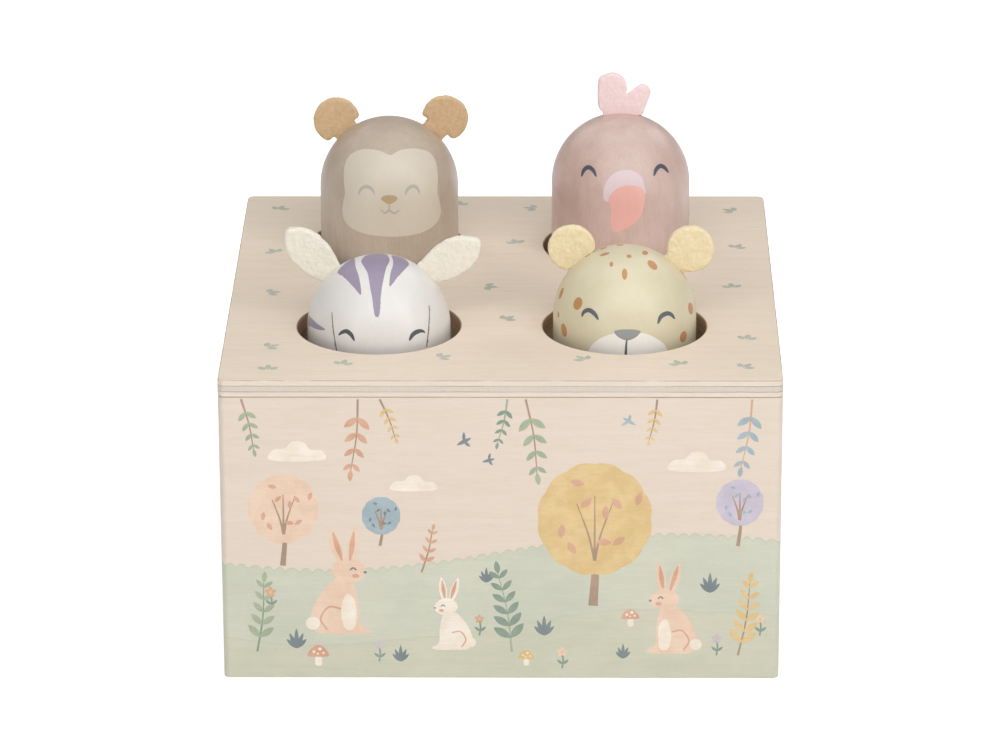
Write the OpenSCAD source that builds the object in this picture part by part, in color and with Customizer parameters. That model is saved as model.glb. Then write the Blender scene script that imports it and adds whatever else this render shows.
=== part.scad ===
// Pop-up toy: a plywood box with four sprung wooden animal pegs in its lid.
// Millimetres. +Z is up, the printed front faces -Y, and the origin is the
// middle of the box's underside.

/* [Box] */
// Width of the box, left to right
box_w = 155; // [148:1:180]
// Depth of the box, front to back
box_d = 155; // [148:1:180]
// Height of the box, lid included
box_h = 89; // [86:1:110]
// Thickness of the four walls
wall_t = 5; // [4:0.5:7]
// Thickness of the plywood lid
lid_t = 5; // [4:0.5:7]
// Thickness of the base panel
base_t = 5; // [4:0.5:7]
// Radius of the box's upright corners
corner_r = 2; // [1:0.5:4.5]
// Side of the square corner blocks
block_w = 10; // [9:0.5:13]

/* [Holes] */
// Diameter of the four holes in the lid
hole_d = 46; // [45:0.5:48]
// Distance between the left and right holes
hole_pitch_x = 69; // [66:1:72]
// Distance between the front and back holes
hole_pitch_y = 68; // [66:1:72]

/* [Pegs] */
// Diameter of the turned pegs
peg_d = 40.2; // [38:0.1:42]
// Straight length of a peg below its dome
peg_body = 27; // [24:1:32]
// Rest height of the flamingo peg, below its top stop
flamingo_drop = 2.5; // [0.5:0.5:24]
// Rest height of the monkey peg, below its top stop
monkey_drop = 3.5; // [0.5:0.5:24]
// Rest height of the leopard peg, below its top stop
leopard_drop = 19; // [0.5:0.5:24]
// Rest height of the zebra peg, below its top stop
zebra_drop = 22; // [0.5:0.5:24]
// How far right of its hole's centre the monkey's column stands
monkey_shift = 1; // [-1.5:0.1:1.5]
// How far right of its hole's centre the flamingo's column stands
flamingo_shift = -0.5; // [-1.5:0.1:1.5]

/* [Stop discs] */
// Diameter of the disc that keeps a peg in the box
disc_d = 52; // [51:1:56]
// Thickness of the stop disc
disc_t = 4; // [3:0.5:5]

/* [Springs] */
// Diameter of the spring wire
wire_d = 1; // [0.8:0.1:1.3]
// Mean diameter of a spring
spring_d = 20; // [18:0.5:24]
// Number of turns in a spring
spring_turns = 9; // [7:1:11]
// Height of the boss that holds a spring's top
boss_h = 8; // [7:0.5:10]
// Clear height between boss and post with the dome pressed flush
flush_gap = 0.3; // [0.2:0.1:1]

/* [Screws] */
// Diameter of the wood screws' shanks
screw_d = 3; // [2.5:0.1:3.5]
// Diameter of the wood screws' heads
screw_head_d = 6; // [5.5:0.1:7]
// Length of the screws in the base
base_screw_l = 16; // [12:1:20]
// Length of the screws in the pegs
peg_screw_l = 25; // [20:1:30]

/* [Ears] */
// Thickness of the felt
felt_t = 2.6; // [1.5:0.1:4]
// Depth of the slots that hold the felt
slot_depth = 4; // [3:0.5:6]
// How far behind a peg's middle its felt stands
felt_back = 4; // [0:0.5:6]
// Radius of the monkey's ears
monkey_ear_r = 6.7; // [5.5:0.1:8]
// Angle of the monkey's left ear from upright
monkey_left_angle = 39.5; // [34:0.5:44]
// Angle of the monkey's right ear from upright
monkey_right_angle = 40.5; // [34:0.5:44]
// From the dome to the middle of the monkey's left ear
monkey_left_out = 3.9; // [3.9:0.1:6]
// From the dome to the middle of the monkey's right ear
monkey_right_out = 5; // [3.9:0.1:6]
// Radius of the leopard's ears
leopard_ear_r = 6.6; // [5.5:0.1:8]
// Angle of the leopard's left ear from upright
leopard_left_angle = 38.5; // [36:0.5:46]
// Angle of the leopard's right ear from upright
leopard_right_angle = 45; // [36:0.5:46]
// From the dome to the middle of the leopard's left ear
leopard_left_out = 3.8; // [3.5:0.1:6.5]
// From the dome to the middle of the leopard's right ear
leopard_right_out = 6; // [3.5:0.1:6.5]
// Length of the zebra's ears outside the peg
zebra_ear_l = 17.8; // [14:0.1:20]
// Width of the zebra's ears
zebra_ear_w = 10.5; // [9:0.1:13]
// Angle of the zebra's left ear from upright
zebra_left_angle = 43.5; // [38:0.5:45]
// Angle of the zebra's right ear from upright
zebra_right_angle = 43.5; // [38:0.5:45]
// How far the zebra's right ear leans further out
zebra_right_lean = 15; // [0:1:18]
// Height of the flamingo's crest above its dome
crest_h = 11.7; // [10:0.1:14]

/* [Hidden] */
$fn = 96;

// Clearances and small sizes
panel_gap = 0.3;        // round the base panel
felt_gap = 0.06;        // round a felt tab in its slot
screw_gap = 0.1;        // round a screw
seat_clear = 0.4;       // between a spring's turns and the boss or post in them
spring_seat = 0.05;     // between a spring's ends and what they press on
head_sink = 0.2;        // a screw head's face, below the surface round it
tip_l = 2.5;            // a screw's point
recess_w = 0.8;         // a screw's cross recess
edge_cut = 0.6;         // the turned edge under a peg
cut = 1;                // what a cutting solid reaches past the face it cuts
round_tab_w = 7.2;      // the root of the monkey's and the leopard's ears
zebra_tab_w = 6.6;      // the root of the zebra's ears
crest_tab_w = 10.4;     // the root of the flamingo's crest
tab_reach = 1.2;        // how far a tab runs on into the shape it carries
monkey_ear_cut = 3.3;   // from the middle of a monkey's ear to its straight lower edge
zebra_ear_wide = 0.45;  // how far up a zebra's ear is widest, as a share of its length
zebra_ear_root = 0.67;  // its width at the dome, as a share of its full width
zebra_ear_blunt = 2.6;  // how full it stays towards its tip
zebra_tip_r = 2;        // radius of its tip

// Derived sizes
wall_h = box_h - lid_t;
dome_r = peg_d / 2;
felt_r = sqrt(dome_r * dome_r - pow(max(felt_back - felt_t / 2, 0), 2)) + felt_gap;
screw_head_h = (screw_head_d - screw_d) / 2;
spring_r = spring_d / 2;
curl_rings = 8;
wire_sides = 6;
end_pitch = wire_d + 0.5;
boss_d = spring_d * cos(180 / curl_rings) - wire_d - 2 * seat_clear;
stop_top = box_h - dome_r - peg_body - disc_t - boss_h;
post_h = stop_top - flush_gap - base_t;
pilot_d = screw_d + 2 * screw_gap;

// Hole centres, and what stands under each: where it stands and how far its peg rests down
hole_x = hole_pitch_x / 2;
hole_y = hole_pitch_y / 2;
hole_centres = [for (x = [-hole_x, hole_x], y = [-hole_y, hole_y]) [x, y]];
zebra = [-hole_x, -hole_y, zebra_drop];
leopard = [hole_x, -hole_y, leopard_drop];
monkey = [-hole_x + monkey_shift, hole_y, monkey_drop];
flamingo = [hole_x + flamingo_shift, hole_y, flamingo_drop];
columns = [zebra, leopard, monkey, flamingo];

// Corner block centres
block_x = box_w / 2 - wall_t - block_w / 2;
block_y = box_d / 2 - wall_t - block_w / 2;
block_centres = [for (x = [-1, 1], y = [-1, 1]) [x * block_x, y * block_y]];

// Colours
ply = "#e3d3bf";
printed = "#d8d3b8";
raw_wood = "#dcc29a";
steel = "#b9bcc0";
zebra_paint = "#e6e4e2";
leopard_paint = "#ddd6b4";
monkey_paint = "#a8988a";
flamingo_paint = "#c3a399";
zebra_felt = "#efe9d9";
leopard_felt = "#eddcaf";
monkey_felt = "#d6b184";
crest_felt = "#f0d0d2";

// ---- The box ----

// A rectangle with round corners, as the box is in plan
module plan_outline(w, d, r) {
    square([w - 2 * r, d], center = true);
    square([w, d - 2 * r], center = true);
    for (x = [-1, 1], y = [-1, 1])
        translate([x * (w / 2 - r), y * (d / 2 - r)]) circle(r);
}

module lid_panel() {
    color(ply)
    difference() {
        translate([0, 0, wall_h]) linear_extrude(lid_t) plan_outline(box_w, box_d, corner_r);
        for (at = hole_centres)
            translate([at.x, at.y, wall_h - cut]) cylinder(d = hole_d, h = lid_t + 2 * cut);
    }
}

// A full-width wall, side = -1 for the front and 1 for the back
module end_wall(side) {
    color(printed)
    linear_extrude(wall_h)
    intersection() {
        plan_outline(box_w, box_d, corner_r);
        translate([0, side * (box_d - wall_t) / 2]) square([box_w, wall_t], center = true);
    }
}

// A wall between the front and back ones, side = -1 for the left and 1 for the right
module side_wall(side) {
    color(printed)
    linear_extrude(wall_h)
    intersection() {
        plan_outline(box_w, box_d, corner_r);
        translate([side * (box_w - wall_t) / 2, 0])
            square([wall_t, box_d - 2 * wall_t], center = true);
    }
}

module base_panel() {
    color(ply)
    difference() {
        translate([0, 0, base_t / 2])
            cube([box_w - 2 * (wall_t + panel_gap), box_d - 2 * (wall_t + panel_gap), base_t],
                 center = true);
        for (at = concat(columns, block_centres))
            translate([at.x, at.y, 0]) screw_hole(base_t);
    }
}

module corner_block(at) {
    color(raw_wood)
    difference() {
        translate([at.x, at.y, (base_t + wall_h) / 2])
            cube([block_w, block_w, wall_h - base_t], center = true);
        translate([at.x, at.y, base_t - cut])
            cylinder(d = pilot_d, h = base_screw_l - base_t + head_sink + cut + screw_gap);
    }
}

// ---- Screws ----

// A countersunk wood screw, its head's face at z = 0 and its point upwards
module wood_screw(length) {
    color(steel)
    difference() {
        union() {
            cylinder(d1 = screw_head_d, d2 = screw_d, h = screw_head_h);
            translate([0, 0, screw_head_h])
                cylinder(d = screw_d, h = length - screw_head_h - tip_l);
            translate([0, 0, length - tip_l])
                cylinder(d1 = screw_d, d2 = recess_w, h = tip_l);
        }
        for (turn = [0, 90])
            rotate([0, 0, turn])
            translate([0, 0, screw_head_h / 2 - cut])
                cube([screw_d, recess_w, 2 * cut], center = true);
    }
}

// What a countersunk screw needs cut away from a board of the given thickness
module screw_hole(board_t) {
    translate([0, 0, -cut]) cylinder(d = pilot_d, h = board_t + 2 * cut);
    translate([0, 0, head_sink])
        cylinder(d1 = screw_head_d + 2 * screw_gap, d2 = pilot_d, h = screw_head_h);
    translate([0, 0, -cut])
        cylinder(d = screw_head_d + 2 * screw_gap, h = head_sink + cut);
}

module screws_at(centres) {
    for (at = centres) translate([at.x, at.y, head_sink]) wood_screw(base_screw_l);
}

// ---- Springs and what holds them ----

// Height of a spring's centreline after a number of turns, its end turns closed up
function spring_z(turn, span) =
    let (middle = (span - 2 * end_pitch) / (spring_turns - 2))
    turn <= 1 ? turn * end_pitch :
    turn >= spring_turns - 1 ? span - (spring_turns - turn) * end_pitch :
    end_pitch + (turn - 1) * middle;

function spring_point(turn, span) =
    [spring_r * cos(360 * turn), spring_r * sin(360 * turn), spring_z(turn, span)];

// The least clear distance between two turns of a spring
function least_gap(line) =
    min([for (i = [0 : len(line) - 1])
         for (j = [i + ceil(curl_rings / 2) : 1 : len(line) - 1])
             norm(line[i] - line[j])]) - wire_d;

// A coil spring, standing on z = 0
module coil_spring(length) {
    span = length - wire_d - 2 * spring_seat;
    rings = spring_turns * curl_rings;
    line = [for (i = [0 : rings]) spring_point(i / curl_rings, span)];
    echo(least_gap_between_turns = least_gap(line));
    points = [
        for (i = [0 : rings], s = [0 : wire_sides - 1])
            let (turn = 360 * i / curl_rings, a = 360 * s / wire_sides + 90,
                 out = spring_r + wire_d / 2 * cos(a))
            [out * cos(turn), out * sin(turn), line[i].z + wire_d / 2 * sin(a)]
    ];
    sides = [
        for (i = [0 : rings - 1], s = [0 : wire_sides - 1])
            let (a = i * wire_sides + s, b = i * wire_sides + (s + 1) % wire_sides)
            each [[a, a + wire_sides, b], [b, a + wire_sides, b + wire_sides]]
    ];
    last = rings * wire_sides;
    ends = [
        for (s = [1 : wire_sides - 2])
            each [[0, s, s + 1], [last, last + s + 1, last + s]]
    ];
    color(steel)
    translate([0, 0, wire_d / 2 + spring_seat])
        polyhedron(points = points, faces = concat(sides, ends));
}

// Underside of a column's peg
function peg_z(at) = wall_h - at.z;

module spring_under(at) {
    translate([at.x, at.y, base_t]) coil_spring(peg_z(at) - disc_t - base_t);
}

module post(at) {
    color(raw_wood)
    difference() {
        translate([at.x, at.y, base_t]) cylinder(d = boss_d, h = post_h);
        translate([at.x, at.y, base_t - cut])
            cylinder(d = pilot_d, h = base_screw_l - base_t + head_sink + cut + screw_gap);
    }
}

// ---- Pegs ----

module stop_disc(at) {
    color(ply)
    translate([at.x, at.y, peg_z(at) - disc_t])
    difference() {
        cylinder(d = disc_d, h = disc_t);
        translate([0, 0, -cut]) cylinder(d = pilot_d, h = disc_t + 2 * cut);
    }
}

module boss(at) {
    color(raw_wood)
    translate([at.x, at.y, peg_z(at) - disc_t - boss_h])
    difference() {
        cylinder(d = boss_d, h = boss_h);
        screw_hole(boss_h);
    }
}

module peg_screw(at) {
    translate([at.x, at.y, peg_z(at) - disc_t - boss_h + head_sink]) wood_screw(peg_screw_l);
}

// Half the outline of a peg, its dome's centre at the origin
module peg_outline() {
    polygon([
        [0, -peg_body], [dome_r - edge_cut, -peg_body],
        [dome_r, -peg_body + edge_cut], [dome_r, 0], [0, 0]
    ]);
    intersection() {
        circle(dome_r);
        square(dome_r);
    }
}

// A slot for a felt tab, at an angle from upright
module felt_slot(angle, width) {
    rotate([0, angle, 0])
    translate([0, felt_back, dome_r + cut / 2 - slot_depth / 2])
        cube([width + 2 * felt_gap, felt_t + 2 * felt_gap, slot_depth + cut], center = true);
}

// A turned peg, its dome's centre at the origin. What is given cuts its slots.
module turned_peg() {
    pilot_l = peg_screw_l - boss_h - disc_t + head_sink + screw_gap;
    difference() {
        rotate_extrude() peg_outline();
        translate([0, 0, -peg_body - cut]) cylinder(d = pilot_d, h = pilot_l + cut);
        children();
    }
}

// Moves what is drawn round a dome's centre to where that column's peg rests
module on_peg(at) {
    translate([at.x, at.y, peg_z(at) + peg_body]) children();
}

module zebra_peg() {
    color(zebra_paint)
    on_peg(zebra) turned_peg() {
        felt_slot(-zebra_left_angle, zebra_tab_w);
        felt_slot(zebra_right_angle, zebra_tab_w);
    }
}

module leopard_peg() {
    color(leopard_paint)
    on_peg(leopard) turned_peg() {
        felt_slot(-leopard_left_angle, round_tab_w);
        felt_slot(leopard_right_angle, round_tab_w);
    }
}

module monkey_peg() {
    color(monkey_paint)
    on_peg(monkey) turned_peg() {
        felt_slot(-monkey_left_angle, round_tab_w);
        felt_slot(monkey_right_angle, round_tab_w);
    }
}

module flamingo_peg() {
    color(flamingo_paint)
    on_peg(flamingo) turned_peg() felt_slot(0, crest_tab_w);
}

// ---- Felt ears and crest, each cut flat and pointing up from the dome's centre ----

// A felt shape on its tab. It stands upright across the peg, turned by the angle given.
module felt_piece(angle, tab_w) {
    rotate([0, angle, 0])
    translate([0, felt_back, 0])
    rotate([90, 0, 0])
    linear_extrude(felt_t, center = true) {
        difference() {
            children();
            circle(felt_r);
        }
        translate([-tab_w / 2, dome_r - slot_depth + felt_gap])
            square([tab_w, slot_depth + tab_reach]);
    }
}

// A round ear with its middle the given distance from the dome
module leopard_ear(angle, out) {
    color(leopard_felt)
    on_peg(leopard) felt_piece(angle, round_tab_w)
        translate([0, dome_r + out]) circle(leopard_ear_r);
}

// A round ear cut straight below, on a neck that leads into the dome
module monkey_ear(angle, out) {
    middle = dome_r + out;
    color(monkey_felt)
    on_peg(monkey) felt_piece(angle, round_tab_w) {
        intersection() {
            translate([0, middle]) circle(monkey_ear_r);
            translate([-monkey_ear_r, middle - monkey_ear_cut])
                square([2 * monkey_ear_r, monkey_ear_cut + monkey_ear_r]);
        }
        translate([-round_tab_w / 2, felt_r]) square([round_tab_w, middle - felt_r]);
    }
}

// Width of a zebra's ear at a share of its length, as a share of its full width
function ear_width(share) =
    share < zebra_ear_wide
        ? 1 - (1 - zebra_ear_root) * pow(1 - share / zebra_ear_wide, 2)
        : 1 - pow((share - zebra_ear_wide) / (1 - zebra_ear_wide), zebra_ear_blunt);

// A leaf with a wide root, that runs on a little into the dome
module zebra_ear_shape() {
    half_w = zebra_ear_w / 2;
    shares = [for (i = [0 : 20]) i / 20];
    root = [half_w * zebra_ear_root, -tab_reach - zebra_tip_r];
    offset(zebra_tip_r) offset(delta = -zebra_tip_r)
    polygon(concat(
        [root],
        [for (s = shares) [half_w * ear_width(s), s * zebra_ear_l]],
        [for (s = shares) if (s > 0) [-half_w * ear_width(1 - s), (1 - s) * zebra_ear_l]],
        [[-root.x, root.y]]
    ));
}

module zebra_ear(angle, lean) {
    color(zebra_felt)
    on_peg(zebra) felt_piece(angle, zebra_tab_w)
        translate([0, felt_r]) rotate(-lean) zebra_ear_shape();
}

// Circles that a lobe is drawn round, each as across, up and radius, in crest heights
crest_left = [[-0.21, 0.637, 0.363], [-0.342, 0.752, 0.222], [-0.325, 0.248, 0.256]];
crest_right = [[0.538, 0.504, 0.197], [0.265, 0.111, 0.325]];

module crest_lobe(circles) {
    hull()
        for (c = circles)
            translate([c[0] * crest_h, dome_r + c[1] * crest_h]) circle(c[2] * crest_h);
}

// Two rounded lobes that grow from one root, the left one taller
module flamingo_crest() {
    color(crest_felt)
    on_peg(flamingo) felt_piece(0, crest_tab_w) {
        crest_lobe(crest_left);
        crest_lobe(crest_right);
    }
}

// ---- Nodes ----

lid_panel();
end_wall(-1);  // front_panel
end_wall(1);  // back_panel
side_wall(-1);  // left_panel
side_wall(1);  // right_panel
base_panel();
corner_block([-block_x, -block_y]);  // corner_block_front_left
corner_block([block_x, -block_y]);  // corner_block_front_right
corner_block([-block_x, block_y]);  // corner_block_back_left
corner_block([block_x, block_y]);  // corner_block_back_right
screws_at(block_centres);  // base_screws
screws_at(columns);  // post_screws
post(zebra);  // zebra_post
post(leopard);  // leopard_post
post(monkey);  // monkey_post
post(flamingo);  // flamingo_post
spring_under(zebra);  // zebra_spring
spring_under(leopard);  // leopard_spring
spring_under(monkey);  // monkey_spring
spring_under(flamingo);  // flamingo_spring
zebra_peg();
leopard_peg();
monkey_peg();
flamingo_peg();
stop_disc(zebra);  // zebra_stop_disc
stop_disc(leopard);  // leopard_stop_disc
stop_disc(monkey);  // monkey_stop_disc
stop_disc(flamingo);  // flamingo_stop_disc
boss(zebra);  // zebra_boss
boss(leopard);  // leopard_boss
boss(monkey);  // monkey_boss
boss(flamingo);  // flamingo_boss
peg_screw(zebra);  // zebra_peg_screw
peg_screw(leopard);  // leopard_peg_screw
peg_screw(monkey);  // monkey_peg_screw
peg_screw(flamingo);  // flamingo_peg_screw
zebra_ear(-zebra_left_angle, 0);  // zebra_ear_left
zebra_ear(zebra_right_angle, zebra_right_lean);  // zebra_ear_right
leopard_ear(-leopard_left_angle, leopard_left_out);  // leopard_ear_left
leopard_ear(leopard_right_angle, leopard_right_out);  // leopard_ear_right
monkey_ear(-monkey_left_angle, monkey_left_out);  // monkey_ear_left
monkey_ear(monkey_right_angle, monkey_right_out);  // monkey_ear_right
flamingo_crest();
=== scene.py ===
"""Looks of a pop-up toy: a printed plywood box with four sprung animal pegs in its lid.

Blender works in metres, in the frame's own axes: +Z is up, the printed front faces -Y and the
origin is the middle of the box's underside. Flat artwork and small sizes are in millimetres.
"""

import logging
import math
import random
from collections.abc import Callable, Iterable, Sequence
from dataclasses import dataclass, field
from enum import Enum

import bmesh
import bpy
from mathutils import Matrix, Vector, noise

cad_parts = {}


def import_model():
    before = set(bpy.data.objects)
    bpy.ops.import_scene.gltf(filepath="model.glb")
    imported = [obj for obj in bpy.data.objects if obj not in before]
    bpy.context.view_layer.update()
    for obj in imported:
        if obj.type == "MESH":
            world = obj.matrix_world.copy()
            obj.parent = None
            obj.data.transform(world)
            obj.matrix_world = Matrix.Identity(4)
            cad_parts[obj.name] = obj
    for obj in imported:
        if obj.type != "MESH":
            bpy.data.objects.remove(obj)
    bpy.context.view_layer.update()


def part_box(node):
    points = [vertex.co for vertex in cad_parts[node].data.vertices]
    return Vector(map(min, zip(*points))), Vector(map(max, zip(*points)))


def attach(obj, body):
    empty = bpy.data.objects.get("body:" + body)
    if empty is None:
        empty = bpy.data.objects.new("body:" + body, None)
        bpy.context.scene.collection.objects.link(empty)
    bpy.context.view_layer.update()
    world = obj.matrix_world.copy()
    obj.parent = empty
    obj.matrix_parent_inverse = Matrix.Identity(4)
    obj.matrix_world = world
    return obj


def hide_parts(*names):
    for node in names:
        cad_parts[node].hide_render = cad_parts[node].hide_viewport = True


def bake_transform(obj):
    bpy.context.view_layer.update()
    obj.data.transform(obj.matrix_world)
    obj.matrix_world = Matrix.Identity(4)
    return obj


LOG = logging.getLogger("pop_up_toy")
MM = 0.001
MERGE = 1e-6
TOUCH = 1e-7
SHARP_ANGLE = math.radians(35)
FLAT_ANGLE = math.radians(1)
# Radians from leaf to leaf that spread leaves evenly
GOLDEN_ANGLE = 2.399963
# Upward share of a face's normal: a board's face has more than the first, a wall's less than the second
LEVEL, UPRIGHT = 0.7, 0.8

Point = tuple[float, float]
Outline = list[Point]
Sockets = dict[str, bpy.types.NodeSocket]


# ---- Colours and node work ----


def linear(code: str, alpha: float = 1.0) -> tuple[float, float, float, float]:
    """Turns a colour as seen on a screen into the numbers that a shader takes.

    Args:
        code: The colour as six hexadecimal digits after a hash.
        alpha: The fourth number.

    Returns:
        Red, green, blue and alpha, with the first three linear.
    """
    shares = [int(code[i : i + 2], 16) / 255 for i in (1, 3, 5)]
    red, green, blue = (s / 12.92 if s <= 0.04045 else ((s + 0.055) / 1.055) ** 2.4 for s in shares)
    return red, green, blue, alpha


class Graph:
    """A node tree being wired, either a material's or a group's."""

    def __init__(self, tree: bpy.types.NodeTree) -> None:
        """Starts on an empty tree."""
        self.tree = tree

    def add(self, kind: str, **inputs: object) -> bpy.types.Node:
        """Adds a node.

        Args:
            kind: The node's type name, without the leading ShaderNode.
            inputs: Values or sockets for its inputs, with _ for a space and _N for an index.

        Returns:
            The new node.
        """
        node = self.tree.nodes.new("ShaderNode" + kind)
        for name, value in inputs.items():
            self.feed(node, name, value)
        return node

    def feed(self, node: bpy.types.Node, name: str, value: object) -> None:
        """Sets an input, or links a socket to it.

        Args:
            node: The node whose input it is.
            name: The input's name, or _N for the input at index N.
            value: A number, a colour, a vector or an output socket.
        """
        key = int(name[1:]) if name[0] == "_" else name.replace("_", " ")
        socket = node.inputs[key]
        if isinstance(value, bpy.types.NodeSocket):
            self.tree.links.new(value, socket)
        else:
            socket.default_value = value

    def maths(self, operation: str, *values: object, clamp: bool = False) -> bpy.types.NodeSocket:
        """Adds a Math node.

        Args:
            operation: What it does.
            values: Numbers or sockets for its inputs.
            clamp: True to keep the result from 0 to 1.

        Returns:
            Its output.
        """
        node = self.tree.nodes.new("ShaderNodeMath")
        node.operation = operation
        node.use_clamp = clamp
        for index, value in enumerate(values):
            self.feed(node, f"_{index}", value)
        return node.outputs[0]

    def mix(self, share: object, first: object, second: object, blend: str = "MIX") -> bpy.types.NodeSocket:
        """Mixes two colours.

        Args:
            share: How much of the second colour shows, from 0 to 1.
            first: The colour underneath.
            second: The colour over it.
            blend: How they mix.

        Returns:
            The mixed colour.
        """
        node = self.tree.nodes.new("ShaderNodeMix")
        node.data_type = "RGBA"
        node.blend_type = blend
        for index, value in ((0, share), (6, first), (7, second)):
            self.feed(node, f"_{index}", value)
        return node.outputs[2]

    def spread(self, value: object, low: float, high: float, to_low: float = 0.0,
               to_high: float = 1.0) -> bpy.types.NodeSocket:
        """Maps a range of values to another, clamped and smooth at its ends.

        Args:
            value: What is mapped.
            low: Its value where the result is to_low.
            high: Its value where the result is to_high.
            to_low: The result at one end.
            to_high: The result at the other.

        Returns:
            The result.
        """
        node = self.tree.nodes.new("ShaderNodeMapRange")
        node.interpolation_type = "SMOOTHSTEP"
        for index, number in enumerate((value, low, high, to_low, to_high)):
            self.feed(node, f"_{index}", number)
        return node.outputs[0]

    def noise(self, vector: object, scale: object, detail: float = 3.0,
              roughness: float = 0.5) -> bpy.types.NodeSocket:
        """Adds a noise texture and returns its grey output."""
        node = self.add("TexNoise", Vector=vector, Scale=scale, Detail=detail, Roughness=roughness)
        return node.outputs[0]


def shared_group(name: str, inputs: Sequence[tuple[str, str, object]], outputs: Sequence[tuple[str, str]],
                 wire: Callable[[Graph, Sockets], Sockets]) -> bpy.types.NodeTree:
    """Makes a node group once, and hands out the same one after that.

    Args:
        name: The group's name.
        inputs: Name, socket type and default value of each input.
        outputs: Name and socket type of each output.
        wire: Builds the inside. It gets the graph and the input sockets, and returns the outputs.

    Returns:
        The group.
    """
    if name in bpy.data.node_groups:
        return bpy.data.node_groups[name]
    tree = bpy.data.node_groups.new(name, "ShaderNodeTree")
    for label, kind, value in inputs:
        socket = tree.interface.new_socket(label, in_out="INPUT", socket_type=kind)
        socket.default_value = value
    for label, kind in outputs:
        tree.interface.new_socket(label, in_out="OUTPUT", socket_type=kind)
    start = tree.nodes.new("NodeGroupInput")
    end = tree.nodes.new("NodeGroupOutput")
    results = wire(Graph(tree), {label: start.outputs[label] for label, _, _ in inputs})
    for label, socket in results.items():
        tree.links.new(socket, end.inputs[label])
    return tree


FLOAT, COLOUR, VECTOR = "NodeSocketFloat", "NodeSocketColor", "NodeSocketVector"


def grain_group() -> bpy.types.NodeTree:
    """Wood grain: broad growth bands, fine fibres and short pores, stretched along one axis.

    Returns:
        The group.
    """

    def wire(graph: Graph, given: Sockets) -> Sockets:
        """Wires the grain.

        Args:
            graph: The group's tree.
            given: The group's inputs.

        Returns:
            The group's outputs.
        """
        stretched = graph.add("VectorMath", _0=given["Vector"], _1=given["Stretch"])
        stretched.operation = "MULTIPLY"
        place = stretched.outputs[0]
        bands = graph.noise(place, 0.55, 4.0, 0.55)
        fibres = graph.noise(place, 3.2, 5.0, 0.7)
        pores = graph.spread(graph.noise(place, 6.5, 2.0, 0.4), 0.66, 0.74)
        body = graph.maths("ADD", graph.maths("MULTIPLY", bands, 0.35),
                           graph.maths("MULTIPLY", fibres, 0.65))
        shade = graph.spread(body, 0.33, 0.67)
        marked = graph.maths("ADD", shade, graph.maths("MULTIPLY", pores, 0.55), clamp=True)
        share = graph.maths("MULTIPLY", marked, given["Contrast"], clamp=True)
        return {
            "Colour": graph.mix(share, given["Light"], given["Dark"]),
            "Mask": marked,
            "Height": graph.maths("SUBTRACT", fibres, graph.maths("MULTIPLY", pores, 0.6)),
        }

    return shared_group(
        "WoodGrain",
        [("Vector", VECTOR, (0, 0, 0)), ("Stretch", VECTOR, (40, 900, 900)), ("Contrast", FLOAT, 1.0),
         ("Light", COLOUR, (1, 1, 1, 1)), ("Dark", COLOUR, (0.5, 0.5, 0.5, 1))],
        [("Colour", COLOUR), ("Mask", FLOAT), ("Height", FLOAT)],
        wire,
    )


def ply_group() -> bpy.types.NodeTree:
    """The edge of a three-ply board: veneers of unlike tone with dark glue lines between.

    Returns:
        The group.
    """

    def wire(graph: Graph, given: Sockets) -> Sockets:
        """Wires the layers.

        Args:
            graph: The group's tree.
            given: The group's inputs.

        Returns:
            The group's outputs.
        """
        wobble = graph.maths("MULTIPLY", graph.maths("SUBTRACT", graph.noise(given["Vector"], 220.0), 0.5),
                             0.05)
        depth = graph.maths("ADD", given["Depth"], wobble)
        in_layer = graph.maths("FRACT", graph.maths("MULTIPLY", depth, given["Layers"]))
        near_line = graph.maths("ABSOLUTE", graph.maths("SUBTRACT", in_layer, 0.5))
        inner = graph.maths("COMPARE", depth, 0.5, 0.5 - 0.09)
        glue = graph.maths("MULTIPLY", graph.spread(near_line, 0.41, 0.46), inner)
        core = graph.maths("COMPARE", depth, 0.5, 0.1667)
        patchy = graph.spread(graph.noise(given["Vector"], 45.0, 3.0), 0.35, 0.65, 0.5, 1.0)
        return {"Glue": graph.maths("MULTIPLY", glue, patchy), "Core": core}

    return shared_group(
        "PlyLayers",
        [("Vector", VECTOR, (0, 0, 0)), ("Depth", FLOAT, 0.5), ("Layers", FLOAT, 3.0)],
        [("Glue", FLOAT), ("Core", FLOAT)],
        wire,
    )


def arris_patch_group() -> bpy.types.NodeTree:
    """A mask of a board's arrises, which lie along none of its axes, broken up by noise.

    Returns:
        The group.
    """

    def wire(graph: Graph, given: Sockets) -> Sockets:
        """Wires the mask.

        Args:
            graph: The group's tree.
            given: The group's inputs.

        Returns:
            The group's outputs.
        """
        normal = graph.add("SeparateXYZ", Vector=graph.add("TexCoord").outputs["Normal"])
        sides = [graph.maths("ABSOLUTE", normal.outputs[axis]) for axis in "XYZ"]
        widest = graph.maths("MAXIMUM", graph.maths("MAXIMUM", sides[0], sides[1]), sides[2])
        edge = graph.spread(widest, 0.97, 0.85)
        patches = graph.spread(graph.noise(given["Vector"], given["Scale"], 4.0, 0.6), 0.25, 0.55)
        return {"Mask": graph.maths("MULTIPLY", graph.maths("MULTIPLY", edge, patches), given["Amount"])}

    return shared_group(
        "ArrisPatches",
        [("Vector", VECTOR, (0, 0, 0)), ("Scale", FLOAT, 300.0), ("Amount", FLOAT, 1.0)],
        [("Mask", FLOAT)],
        wire,
    )


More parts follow.
